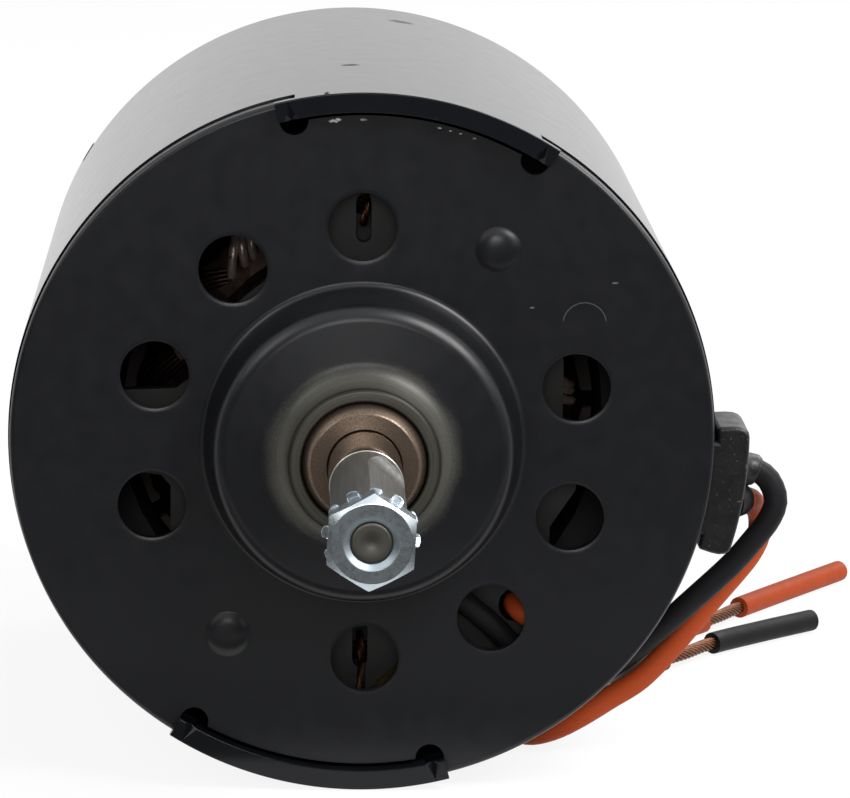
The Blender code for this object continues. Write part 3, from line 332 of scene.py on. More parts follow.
def curve(name, runs, radius=0.0, material=None):
    """A curve object with one open line for each run of points, in the world's metres."""
    data = bpy.data.curves.new(name, "CURVE")
    data.dimensions = "3D"
    data.bevel_depth = radius * MM
    data.bevel_resolution = 6
    data.use_fill_caps = True
    for run in runs:
        spline = data.splines.new("POLY")
        spline.points.add(len(run) - 1)
        for knot, p in zip(spline.points, run):
            knot.co = (*(TO_WORLD @ Vector(p)), 1.0)
    if material:
        data.materials.append(material)
    return link(bpy.data.objects.new(name, data))


# ---------------------------------------------------------------- node trees

def fill(node, values):
    """Sets a node's inputs to values, or links them to other nodes' outputs."""
    for key, value in values.items():
        socket = node.inputs[key]
        if isinstance(value, bpy.types.NodeSocket):
            node.id_data.links.new(value, socket)
        elif socket.type == "RGBA" and len(value) == 3:
            socket.default_value = (*value, 1.0)
        else:
            socket.default_value = value


def put(tree, kind, *values, out=0, **settings):
    """Adds a node, fills its inputs in order or by a dict, and returns one of its outputs."""
    made = tree.nodes.new(kind if "Node" in kind else "ShaderNode" + kind)
    for key, value in settings.items():
        setattr(made, key, value)
    fill(made, values[0] if values and isinstance(values[0], dict) else dict(enumerate(values)))
    return made.outputs[out] if made.outputs else made


def geometry_tree(name, inputs):
    """An empty Geometry Nodes tree with a geometry going in and out, and named inputs for its sizes."""
    tree = bpy.data.node_groups.new(name, "GeometryNodeTree")
    tree.is_modifier = True
    tree.interface.new_socket("Geometry", in_out="INPUT", socket_type="NodeSocketGeometry")
    for label, kind in inputs:
        tree.interface.new_socket(label, in_out="INPUT", socket_type="NodeSocket" + kind)
    tree.interface.new_socket("Geometry", in_out="OUTPUT", socket_type="NodeSocketGeometry")
    return tree, put(tree, "NodeGroupInput").node.outputs


def finish_tree(tree, geometry, material):
    """Ends a tree: instances made real, smooth shading and the finish."""
    real = put(tree, "GeometryNodeRealizeInstances", geometry)
    smooth = put(tree, "GeometryNodeSetShadeSmooth", real)
    painted = put(tree, "GeometryNodeSetMaterial", {"Geometry": smooth, "Material": material})
    put(tree, "NodeGroupOutput", painted)
    return tree


def twisted_strands_tree():
    """Copper strands that twist round the line they follow."""
    tree, given = geometry_tree("Twisted strands", (
        ("Strands", "Int"), ("Strand Radius", "Float"), ("Lay Radius", "Float"), ("Twist", "Float"),
        ("Finish", "Material"),
    ))
    ring = put(tree, "GeometryNodeMeshCircle", {"Vertices": given["Strands"], "Radius": given["Lay Radius"]})
    strand = put(tree, "GeometryNodeCurvePrimitiveCircle", {
        "Resolution": 8, "Radius": given["Strand Radius"],
    })
    strands = put(tree, "GeometryNodeInstanceOnPoints", {"Points": ring, "Instance": strand})
    profile = put(tree, "GeometryNodeRealizeInstances", strands)
    along = put(tree, "GeometryNodeSplineParameter", out="Factor")
    turn = put(tree, "Math", along, given["Twist"], operation="MULTIPLY")
    tilted = put(tree, "GeometryNodeSetCurveTilt", {"Curve": given["Geometry"], "Tilt": turn})
    swept = put(tree, "GeometryNodeCurveToMesh", {
        "Curve": tilted, "Profile Curve": profile, "Fill Caps": True,
    })
    return finish_tree(tree, swept, given["Finish"])


def turned_copies_tree():
    """Wires from the lines that come in, copied round the motor's axis."""
    tree, given = geometry_tree("Turned copies", (
        ("Copies", "Int"), ("Wire Radius", "Float"), ("Finish", "Material"),
    ))
    section = put(tree, "GeometryNodeCurvePrimitiveCircle", {"Resolution": 6, "Radius": given["Wire Radius"]})
    wires = put(tree, "GeometryNodeCurveToMesh", {
        "Curve": given["Geometry"], "Profile Curve": section, "Fill Caps": True,
    })
    centres = put(tree, "GeometryNodeMeshLine", {"Count": given["Copies"], "Offset": (0, 0, 0)})
    step = put(tree, "Math", TAU, given["Copies"], operation="DIVIDE")
    turn = put(tree, "Math", put(tree, "GeometryNodeInputIndex"), step, operation="MULTIPLY")
    about = put(tree, "CombineXYZ", {"Y": turn})
    copies = put(tree, "GeometryNodeInstanceOnPoints", {
        "Points": centres, "Instance": wires, "Rotation": about,
    })
    return finish_tree(tree, copies, given["Finish"])


def grown(obj, tree, values):
    """Runs a tree on an object with values for its named inputs, and returns the plain mesh object."""
    step = obj.modifiers.new("tree", "NODES")
    step.node_group = tree
    for item in tree.interface.items_tree:
        if item.in_out == "INPUT" and item.name in values:
            step[item.identifier] = values[item.name]
    return plain(obj)


def plain(obj):
    """Puts a plain mesh object in the place of a curve, with what a tree makes of it."""
    mesh, name = evaluated(obj), obj.name
    bpy.data.objects.remove(obj)
    return link(bpy.data.objects.new(name, mesh))


# ---------------------------------------------------------------- finishes

# What a Mix node needs to mix two colours
COLOURS = {"data_type": "RGBA", "out": 2}


def shade(colour, by):
    """A lighter or darker version of a linear colour."""
    return tuple(min(1.0, by * c) for c in colour)


def new_finish(name, **constants):
    """A material, a function that adds nodes to it, its shader and the object's own coordinates."""
    made = bpy.data.materials.new(name)
    made.use_nodes = True
    shader = made.node_tree.nodes["Principled BSDF"]
    fill(shader, {key.replace("_", " "): value for key, value in constants.items()})
    add = functools.partial(put, made.node_tree)
    return made, add, shader, add("TexCoord", out="Object")


def grain(add, where, size_mm, detail=3.0, stretch_by=None):
    """A cloudy pattern with grains of that size in millimetres, longer on an axis with a small scale."""
    if stretch_by:
        where = add("Mapping", {"Vector": where, "Scale": stretch_by})
    return add("TexNoise", {"Vector": where, "Scale": 1 / (size_mm * MM), "Detail": detail})


def from_axis(add, where):
    """The distance from the motor's axis, in millimetres."""
    flat = add("VectorMath", where, (1 / MM, 0, 1 / MM), operation="MULTIPLY")
    return add("VectorMath", flat, out="Value", operation="LENGTH")


def turning_marks(add, where, size_mm):
    """Fine rings round the motor's axis, as a lathe or a grinding wheel leaves."""
    radius = add("Math", from_axis(add, where), 1.0 / size_mm, operation="MULTIPLY")
    return add("TexNoise", {"W": radius, "Scale": 1.0, "Detail": 2.0}, noise_dimensions="1D")


def spot(add, where, centre, radius_mm, ragged):
    """1 within a small ragged spot round a point in world millimetres, 0 outside. It is wider than high."""
    from_centre = add("VectorMath", where, tuple(c * MM for c in centre), operation="SUBTRACT")
    flatter = add("VectorMath", from_centre, (0.8, 1, 2.2), operation="MULTIPLY")
    away = add("VectorMath", flatter, out="Value", operation="LENGTH")
    rough_edge = add("Math", grain(add, where, 0.35), 0.5, operation="SUBTRACT")
    reach = add("Math", rough_edge, radius_mm * MM * 2 * ragged, away, operation="MULTIPLY_ADD")
    return add("MapRange", reach, radius_mm * MM * 0.8, radius_mm * MM, 1.0, 0.0)


def scratch(add, where, centre, radius_mm):
    """1 on a fine arc round a point in world millimetres, above that point alone."""
    from_centre = add("VectorMath", where, tuple(c * MM for c in centre), operation="SUBTRACT")
    away = add("VectorMath", from_centre, out="Value", operation="LENGTH")
    off = add("Math", add("Math", away, radius_mm * MM, operation="SUBTRACT"), operation="ABSOLUTE")
    line = add("MapRange", off, 0.02 * MM, 0.09 * MM, 1.0, 0.0)
    above = add("MapRange", add("SeparateXYZ", from_centre, out="Z"), 0.1 * MM, 0.6 * MM, 0.0, 1.0)
    return add("Math", line, above, operation="MULTIPLY")


def streaky(name, colours, size_mm, depth_mm, rough, metallic, stretch_by=None):
    """A finish whose colour, gloss and height all follow one grain: two colours, two roughness values."""
    made, add, shader, where = new_finish(name, Metallic=metallic)
    marks = grain(add, where, size_mm, 4.0, stretch_by)
    cloud = grain(add, where, size_mm * 9, 2.0)
    both = add("Math", cloud, 0.5, marks, operation="MULTIPLY_ADD")
    amount = add("MapRange", both, 0.5, 1.0, 0.0, 1.0)
    fill(shader, {
        "Base Color": add("Mix", {0: amount, 6: linear(colours[0]), 7: linear(colours[1])}, **COLOURS),
        "Roughness": add("MapRange", marks, 0.3, 0.7, *rough),
        "Normal": add("Bump", {"Height": marks, "Distance": depth_mm * MM}),
    })
    return made


def enamel(name, paint, marks, specular, roughness, ripple_mm):
    """Baked black enamel on pressed steel: smooth, slightly wavy, chipped to grey in a few spots."""
    made, add, shader, where = new_finish(name, Specular_IOR_Level=specular)
    cloud = grain(add, where, 9.0, 4.0)
    base = add("Mix", {0: cloud, 6: shade(paint, 0.82), 7: shade(paint, 1.2)}, **COLOURS)
    rough = add("MapRange", grain(add, where, 2.4, 5.0), 0.3, 0.7, *roughness)
    # Each mark recolours a ragged spot and makes it rougher: chips and worn patches, and a pit whose darker
    # colour is painted shade
    for centre, radius, colour, ragged in marks:
        there = spot(add, where, centre, radius, ragged)
        base = add("Mix", {0: there, 6: base, 7: linear(colour)}, **COLOURS)
        rough = add("Math", there, 0.3, rough, operation="MULTIPLY_ADD")
    # The paint ripples are 1.2 mm and 9 mm across, and at most a few microns high
    fine, broad = grain(add, where, 1.2, 1.0), grain(add, where, 9.0, 1.0)
    wave = add("Bump", {"Height": fine, "Distance": ripple_mm * MM})
    wave = add("Bump", {"Height": broad, "Distance": 5 * ripple_mm * MM, "Normal": wave})
    fill(shader, {"Base Color": base, "Roughness": rough, "Normal": wave})
    return made, add, shader, where, base, rough


def hub_enamel(paint, steel):
    """The front plate's enamel, which thins out at the hub to brown-grey bare steel with lathe rings."""
    chips = (
        ((-3.5, 0, 35.7), 0.38, "92928d", 1.3), ((-3.0, 0, 35.85), 0.3, "9b9b96", 1.3),
        ((-0.3, 0, 35.85), 0.3, "6f6460", 1.2), ((8.0, 0, 35.0), 0.2, "7d7d7b", 1.0),
        ((9.2, 0, 34.7), 0.15, "8a8a88", 1.0), ((10.3, 0, 34.4), 0.15, "7c7c7b", 1.0),
        ((11.8, 0, 33.9), 0.18, "5c5c5b", 1.0), ((27.4, 0, 18.1), 0.25, "45474b", 0.8),
        ((18.4, 0, 15.3), 0.25, "45474b", 0.8),
    )
    made, add, shader, where, base, rough = enamel(
        "black_enamel_plate", paint, chips, 0.42, (0.30, 0.37), 0.002,
    )
    mark = add("Math", scratch(add, where, (24.14, 0, 13.52), 2.37), 0.6, operation="MULTIPLY")
    base = add("Mix", {0: mark, 6: base, 7: linear("4b4d52")}, **COLOURS)
    # The paint ends in a speckled, drifting ring between 8.7 and 10.9 mm from the axis
    radius = edge = from_axis(add, where)
    for size, detail, reach in ((0.16, 4.0, 2.6), (5.0, 1.0, 1.6)):
        drift = add("Math", grain(add, where, size, detail), 0.5, operation="SUBTRACT")
        edge = add("Math", drift, reach, edge, operation="MULTIPLY_ADD")
    bare = add("MapRange", edge, 8.7, 10.9, 1.0, 0.0)
    rings = turning_marks(add, where, 0.22)
    metal = add("Mix", {0: rings, 6: shade(steel, 0.7), 7: shade(steel, 1.3)}, **COLOURS)
    # A dark ring 8.12 mm from the axis, at the hub's top edge, is painted shade, as a groove there would hold
    painted_groove_shade = add("Math", radius, 8.12, 0.16, operation="COMPARE")
    dark = add("Math", painted_groove_shade, 0.7, operation="MULTIPLY")
    stained = add("MapRange", radius, 8.4, 9.0, 0.0, 0.3)
    for amount, colour in ((dark, "1d1c1a"), (stained, "22211c")):
        metal = add("Mix", {0: amount, 6: metal, 7: linear(colour)}, **COLOURS)
    gleam = add("MapRange", radius, 8.2, 8.7, 0.85, 0.35)
    fill(shader, {
        "Base Color": add("Mix", {0: bare, 6: base, 7: metal}, **COLOURS),
        "Metallic": add("Math", bare, gleam, operation="MULTIPLY"),
        "Roughness": add("Math", bare, 0.14, rough, operation="MULTIPLY_ADD"),
    })
    return made


def shaft_steel():
    """Carbon steel: a polished journal, a ground length for the fan wheel and a dull sawn end."""
    made, add, shader, where = new_finish("ground_shaft_steel", Metallic=1.0)
    out = add("Math", add("SeparateXYZ", where, out="Y"), -1 / MM, operation="MULTIPLY")
    # The journal ends 22 mm over the plate's face, and the end face alone is past 47 mm
    ground = add("MapRange", out, 22.0, 22.1, 0.0, 1.0)
    end = add("MapRange", out, 47.0, 47.05, 0.0, 1.0)
    lines = grain(add, where, 0.35, 3.0, (1, 0.04, 1))
    tone = add("Mix", {0: lines, 6: linear("a5a4a0"), 7: linear("eeede8")}, **COLOURS)
    tone = add("Mix", {0: ground, 6: linear("a9a29a"), 7: tone}, **COLOURS)
    rings = turning_marks(add, where, 0.3)
    dull = add("Mix", {0: rings, 6: linear("63625b"), 7: linear("7b7972")}, **COLOURS)
    rough = add("MapRange", ground, 0.0, 1.0, 0.07, 0.29)
    cut = add("Math", lines, ground, operation="MULTIPLY")
    fill(shader, {
        "Base Color": add("Mix", {0: end, 6: tone, 7: dull}, **COLOURS),
        "Roughness": add("Math", end, 0.22, rough, operation="MULTIPLY_ADD"),
        "Normal": add("Bump", {"Height": cut, "Distance": 0.006 * MM}),
    })
    return made


def sintered_bronze(bronze):
    """Sintered bronze: powder grains and oil-dark pores, burnished on its face."""
    made, add, shader, where = new_finish("sintered_bronze", Metallic=0.9)
    pores = add("MapRange", grain(add, where, 0.2), 0.38, 0.56, 0.0, 1.0)
    tone = add("Mix", {0: grain(add, where, 3.0), 6: shade(bronze, 0.75), 7: shade(bronze, 1.2)}, **COLOURS)
    fill(shader, {
        "Base Color": add("Mix", {0: pores, 6: shade(bronze, 0.6), 7: tone}, **COLOURS),
        "Roughness": add("MapRange", pores, 0.0, 1.0, 0.45, 0.3),
        "Normal": add("Bump", {"Height": pores, "Distance": 0.002 * MM}),
    })
    return made


def zinc_plate(zinc):
    """Bright zinc plate with a blue passivate: cloudy crystals over steel, rougher in the nut's mouth and
    painted darker there as shade.
    """
    made, add, shader, where = new_finish("blue_zinc_plate", Metallic=1.0)
    base = add("Mix", {0: grain(add, where, 1.4, 5.0), 6: shade(zinc, 0.9), 7: shade(zinc, 1.08)}, **COLOURS)
    # Within 2.8 to 2.9 mm of the axis the nut's mouth is rougher, and its darker colour is painted shade
    mouth = add("MapRange", from_axis(add, where), 2.8, 2.9, 1.0, 0.0)
    painted_mouth_shade = add("Math", mouth, 0.7, operation="MULTIPLY")
    rough = add("MapRange", grain(add, where, 0.5, 4.0), 0.3, 0.7, 0.25, 0.32)
    fill(shader, {
        "Base Color": add("Mix", {0: painted_mouth_shade, 6: base, 7: linear("9aa6ad")}, **COLOURS),
        "Roughness": add("Math", mouth, 0.22, rough, operation="MULTIPLY_ADD"),
        "Normal": add("Bump", {"Height": grain(add, where, 0.6), "Distance": 0.004 * MM}),
    })
    return made


def rubber():
    """Moulded rubber, dusty black with pale specks of mould release."""
    made, add, shader, where = new_finish("moulded_rubber", Specular_IOR_Level=0.4)
    specks = add("MapRange", grain(add, where, 0.35, 2.0), 0.66, 0.74, 0.0, 0.55)
    fill(shader, {
        "Base Color": add("Mix", {0: specks, 6: linear("111112"), 7: linear("5a5a5a")}, **COLOURS),
        "Roughness": add("MapRange", grain(add, where, 1.5), 0.3, 0.7, 0.32, 0.46),
        "Normal": add("Bump", {"Height": grain(add, where, 0.4), "Distance": 0.03 * MM}),
    })
    return made


def cover(name, colour, rough, specular):
    """Extruded soft PVC: even colour, low gloss and faint waves along the lead."""
    made, add, shader, where = new_finish(name, Specular_IOR_Level=specular)
    fill(shader, {
        "Base Color": add(
            "Mix", {0: grain(add, where, 6.0), 6: shade(colour, 0.86), 7: shade(colour, 1.12)}, **COLOURS,
        ),
        "Roughness": add("MapRange", grain(add, where, 1.2), 0.3, 0.7, *rough),
        "Normal": add("Bump", {"Height": grain(add, where, 1.6), "Distance": 0.03 * MM}),
    })
    return made


def make_finishes():
    """Every finish, by the name that the pieces ask for."""
    case, turning, leads = settings()
    # A dull pit over the front tab, painted darker as its shade, and a larger worn patch near the rear end
    marks = (((-1.4, 22.5, 39.0), 0.9, "08080a", 0.5), ((5.7, 68.4, 38.6), 1.3, "3a3c40", 0.9))
    return {
        # Baked enamel on rolled steel: a near-black mirror at a low angle
        "yoke_enamel": enamel("black_enamel_yoke", case.paint, marks, 0.28, (0.15, 0.17), 0.0002)[0],
        "plate_enamel": hub_enamel(case.paint, case.bare_steel),
        "shaft_steel": shaft_steel(),
        # Drawn steel, plain and bright
        "bright_steel": streaky(
            "drawn_steel", ("8d8b87", "b1afaa"), 0.5, 0.002, (0.2, 0.3), 1.0, (1, 0.15, 1),
        ),
        # Cold-drawn spring steel with its rolling oil baked on
        "spring_steel": streaky(
            "spring_steel", ("6d6e70", "8b8c8e"), 0.4, 0.004, (0.25, 0.4), 1.0, (1, 0.2, 1),
        ),
        # Pressed wool felt, soaked with oil: dark, matt and hairy
        "felt": streaky("oiled_felt", ("3a3024", "5c4d39"), 0.25, 0.08, (0.9, 1.0), 0.0),
        # Punched electrical steel sheets, 0.5 mm each, so fine lines along the core
        "laminations": streaky(
            "stacked_laminations", ("4c4d50", "77787a"), 0.5, 0.03, (0.35, 0.5), 1.0, (0.1, 1, 0.1),
        ),
        # Magnet wire: copper under clear enamel, painted pale and warm as a highlight
        "enamelled_copper": streaky(
            "enamelled_wire_painted_highlight", ("c4a79c", "f4e2d9"), 1.0, 0.004, (0.26, 0.36), 0.7,
        ),
        # The same wire where varnish holds the winding together: less shiny, and painted dark as shade
        "varnished_copper_painted_shade": streaky("varnished_winding_painted_shade", ("241a16", "40302a"), 1.0, 0.01, (0.3, 0.45), 0.8),
        # Bare copper, dulled by handling
        "copper": streaky("bare_copper", ("5c3b2c", "855a44"), 0.5, 0.004, (0.34, 0.48), 1.0),
        # Vulcanised fibre: dark brown, slightly waxy
        "fibre": streaky("vulcanised_fibre", ("2b211d", "3a2d27"), 0.5, 0.01, (0.55, 0.7), 0.0),
        # Paper phenolic board: dark grey-brown with short paper fibres
        "phenolic": streaky("paper_phenolic_board", ("191715", "24201d"), 0.35, 0.01, (0.4, 0.55), 0.0),
        # Sintered ferrite: charcoal and matt with grinding lines
        "ferrite": streaky("ground_ferrite", ("161618", "222224"), 0.3, 0.02, (0.6, 0.8), 0.0, (1, 0.3, 1)),
        # Rolled brass strip, lightly tarnished
        "brass": streaky("tarnished_brass", ("4d4226", "64563a"), 0.8, 0.003, (0.28, 0.42), 1.0, (1, 0.3, 1)),
        # Pressed carbon and copper powder: dark grey with a dull shine
        "carbon": streaky("copper_carbon", ("151414", "231f1d"), 0.2, 0.02, (0.45, 0.6), 0.3),
        "rubber": rubber(),
        "black_cover": cover("black_pvc_cover", leads.black_cover, (0.42, 0.54), 0.12),
        "orange_cover": cover("orange_pvc_cover", leads.orange_cover, (0.46, 0.56), 0.1),
        "bronze": sintered_bronze(turning.bronze),
        "zinc": zinc_plate(turning.zinc),
    }


FINISHES = {}


def finish(name):
    """A finish by name. All are made the first time one is asked for."""
    if not FINISHES:
        FINISHES.update(make_finishes())
    return FINISHES[name]


def settings():
    """The three groups of sizes and colours."""
    scene = bpy.context.scene
    return scene.blower_case, scene.blower_turning, scene.blower_leads


def refinish(names, slot_name):
    """Gives CAD nodes that keep their shape a finish."""
    for name in names:
        for held in NODES[name].material_slots:
            held.link = "DATA"
            held.material = finish(slot_name)


# ---------------------------------------------------------------- operators

class BLOWER_OT_stage(bpy.types.Operator):
    """Sets up the camera, the floor, the soft lights and the white background."""

    bl_idname = "blower.stage"
    bl_label = "Stage"

    def execute(self, context):
        camera = link(bpy.data.objects.new("camera", bpy.data.cameras.new("camera")))
        # The lens, place and turn come from a fit to the plate's rim, the vents, the rear rim and the nut
        camera.data.lens = 192.72
        camera.data.clip_start = 0.01
        right, up = (0.99942, -0.03195, 0.01201), (-0.00548, 0.19684, 0.98042)
        back, place = (-0.03369, -0.97991, 0.19655), (-0.010033, -0.488715, 0.103094)
        camera.matrix_world = Matrix.Translation(place) @ Matrix((right, up, back)).transposed().to_4x4()
        context.scene.camera = camera

        for label, at, aim, size, power in (
            ("top", (0.48, -0.30, 0.58), (0.0, 0.0, 0.0), 0.50, 6.5),
            ("left", (-0.60, -0.35, 0.50), (0.0, 0.0, 0.0), 0.40, 1.2),
            ("back", (0.55, 0.55, 0.50), (0.0, 0.05, 0.0), 0.60, 3.2),
            ("front", (-0.05, -1.10, 0.36), (0.0, 0.0, 0.0), 0.40, 2.6),
        ):
            lamp = bpy.data.lights.new(label, "AREA")
            lamp.shape, lamp.size, lamp.energy = "DISK", size, power
            obj = link(bpy.data.objects.new(label, lamp))
            obj.location = at
            obj.rotation_euler = (Vector(aim) - Vector(at)).to_track_quat("-Z", "Y").to_euler()

        world = context.scene.world or bpy.data.worlds.new("studio")
        context.scene.world = world
        tree = self.bare_tree(world)
        strength = put(tree, "MapRange", self.seen(tree), 0.0, 1.0, 0.55, 1.0)
        sky = put(tree, "Background", {"Color": (1, 1, 1), "Strength": strength})
        put(tree, "OutputWorld", sky)

        bm = bmesh.new()
        bmesh.ops.create_grid(bm, x_segments=1, y_segments=1, size=3.0)
        table = -0.0391
        bmesh.ops.translate(bm, vec=(0, 0, table), verts=bm.verts)
        tree = self.backdrop("floor", bm)[1]
        lit = put(tree, "BsdfDiffuse", {"Color": (0.96, 0.96, 0.96)})
        white = put(tree, "Emission", {"Color": (1, 1, 1), "Strength": 1.0})
        share = put(tree, "Math", self.seen(tree), 0.88, operation="MULTIPLY")
        put(tree, "OutputMaterial", put(tree, "MixShader", share, lit, white))

        # Grey cards, seen by reflections alone, give the dark sides that a studio has: on the table before
        # the motor, upright behind the camera, at the left and low at the right. The last two are narrow
        # strips close before the motor, one flat and one upright
        bm = bmesh.new()
        wide, low, near, far = 0.9, -0.0385, -0.10, -1.2
        for corners in (
            ((-wide, near, low), (wide, near, low), (wide, far, low), (-wide, far, low)),
            ((-wide, far, low), (wide, far, low), (wide, far, 1.0), (-wide, far, 1.0)),
            ((-wide, near, low), (-wide, far, low), (-wide, far, 0.8), (-wide, near, 0.8)),
            ((wide, near, low), (wide, far, low), (wide, far, 0.15), (wide, near, 0.15)),
            ((-wide, -0.012, low), (wide, -0.012, low), (wide, -0.045, low), (-wide, -0.045, low)),
            ((-wide, -0.06, low), (wide, -0.06, low), (wide, -0.06, 0.0), (-wide, -0.06, 0.0)),
        ):
            bm.faces.new([bm.verts.new(p) for p in corners])
        card, tree = self.backdrop("grey_card", bm)
        put(tree, "OutputMaterial", put(tree, "Emission", {"Color": (1, 1, 1), "Strength": 0.075}))
        card.visible_camera = card.visible_diffuse = card.visible_shadow = card.visible_transmission = False
        context.scene.view_settings.view_transform = "Standard"
        return {"FINISHED"}

    def backdrop(self, name, bm):
        """A stage object with an empty material of its own."""
        obj = drawn(name, bm)
        obj.data.materials.append(bpy.data.materials.new(name))
        return obj, self.bare_tree(obj.data.materials[0])

    def bare_tree(self, owner):
        """The emptied node tree of a world or a material."""
        owner.use_nodes = True
        owner.node_tree.nodes.clear()
        return owner.node_tree

    def seen(self, tree):
        """1 for rays from the camera, a mirror or glass, 0 for the rays that light a surface."""
        rays = put(tree, "LightPath").node.outputs
        both = put(tree, "Math", rays["Is Camera Ray"], rays["Is Glossy Ray"], operation="MAXIMUM")
        return put(tree, "Math", both, rays["Is Transmission Ray"], operation="MAXIMUM")


class BLOWER_OT_leads(bpy.types.Operator):
    """Lays the two leads with their bared copper strands and the slugs of cover at their ends."""

    bl_idname = "blower.leads"
    bl_label = "Leads"

    def execute(self, context):
        sizes = settings()[2]
        radius = sizes.lead_radius / MM
        tree = twisted_strands_tree()
        for name, route, bare, slug, sleeve in (
            ("black", BLACK_ROUTE, sizes.black_bare / MM, sizes.black_slug / MM, 3.7),
            ("orange", ORANGE_ROUTE, sizes.orange_bare / MM, sizes.orange_slug / MM, 3.0),
        ):
            cover_finish = finish(name + "_cover")
            path = smooth_curve(route)
            end = length_of(path)
            strands_at = end - slug - bare
            run = stretch(path, 0.0, strands_at - 0.3, 0.9)
            lead = curve(name + "_lead_run", [run], radius, cover_finish)
            seated(lead, "housing", (name + "_lead",))
            bared = stretch(path, strands_at - 0.25, end - slug + 0.2, 0.3)
            bundle = self.strands(name + "_copper_strands", bared, tree)
            seated(bundle, "housing", (name + "_lead_strands",))
            tip = self.slug(name + "_cover_slug", stretch(path, end - slug, end, 0.9), radius)
            settled(tip, cover_finish, "housing", (name + "_lead_slug",), 40)
            collar = self.collar(name + "_lead_collar", stretch(path, 1.3, sleeve, 0.3), radius + 0.06)
            settled(collar, finish("rubber"), "housing", (), 60)
        for name, up, first_steps, inside in (
            ("black", BLACK_UP, (1.7, 4.2, 6.4, 8.4), BLACK_INSIDE),
            ("orange", ORANGE_UP, (2.2, 4.4, 6.6, 8.4), ORANGE_INSIDE),
        ):
            fall = math.tan(HOLE_TILT)
            path = smooth_curve([(MOUTH_X - d, up, MOUTH_DEPTH + d * fall) for d in first_steps] + inside)
            line = stretch(path, 0.0, length_of(path), 0.8)
            run = plain(curve(name + "_lead_inside", [line], radius - 0.05))
            run.data.materials.clear()
            run.data.materials.append(finish(name + "_cover"))
            seated(run, "housing", (name + "_lead_inner",))
        return {"FINISHED"}

    def strands(self, name, run, tree):
        """A rope of strands: three in the middle, six round them and eleven outside, all twisted."""
        thin, pitch = settings()[2].strand_radius, 9.0
        made = []
        for count, lay in ((3, 0.9 * thin), (6, 2.2 * thin), (11, 3.72 * thin)):
            made.append(grown(curve(name, [run]), tree, {
                "Strands": count, "Strand Radius": thin, "Lay Radius": lay,
                "Twist": TAU * length_of(run) / pitch, "Finish": finish("copper"),
            }))
        return as_one(name, made)

    def collar(self, name, run, bore):
        """A moulded sleeve round the root of a lead, a little thinner towards its rounded end."""
        bm = bmesh.new()
        last, count = len(run) - 1, 32
        skins = []
        for i, middle in enumerate(run):
            ahead = (run[min(i + 1, last)] - run[max(i - 1, 0)]).normalized()
            across = ahead.cross((0, 1, 0)).normalized()
            out = bore + 0.12 if i == last else bore + 0.62 - 0.3 * i / last
            spokes = [
                math.cos(TAU * k / count) * across + math.sin(TAU * k / count) * across.cross(ahead)
                for k in range(count)
            ]
            skins.append([[bm.verts.new(middle + r * spoke) for spoke in spokes] for r in (out, bore)])
        for k in range(count):
            j = (k + 1) % count
            for (out, inside), (next_out, next_inside) in zip(skins, skins[1:]):
                bm.faces.new((out[k], out[j], next_out[j], next_out[k]))
                bm.faces.new((inside[j], inside[k], next_inside[k], next_inside[j]))
            for out, inside in (skins[0], skins[-1]):
                bm.faces.new((out[k], out[j], inside[j], inside[k]))
        return drawn(name, bm)

    def slug(self, name, run, radius):
        """A short cut tube of cover with a recess at its far end, where the strands stop."""
        tube = plain(curve(name, [run], radius))
        tube.data.transform(TO_WORLD.inverted())
        ahead = (run[-1] - run[-2]).normalized().to_track_quat("Z", "Y")
        bore = bmesh.new()
        bmesh.ops.create_cone(bore, cap_ends=True, segments=24, radius1=0.8, radius2=0.8, depth=1.6)
        place = Matrix.Translation(run[-1]) @ ahead.to_matrix().to_4x4()
        bmesh.ops.transform(bore, verts=bore.verts, matrix=place)
        shaped(tube, [("DIFFERENCE", bore)])
        return bevelled(tube, 0.12, 60)


def as_one(name, objects):
    """Joins finished meshes into one object."""
    bm = bmesh.new()
    for obj in objects:
        bm.from_mesh(obj.data)
    mesh = objects[0].data.copy()
    bm.to_mesh(mesh)
    bm.free()
    for obj in objects:
        bpy.data.objects.remove(obj)
    return link(bpy.data.objects.new(name, mesh))


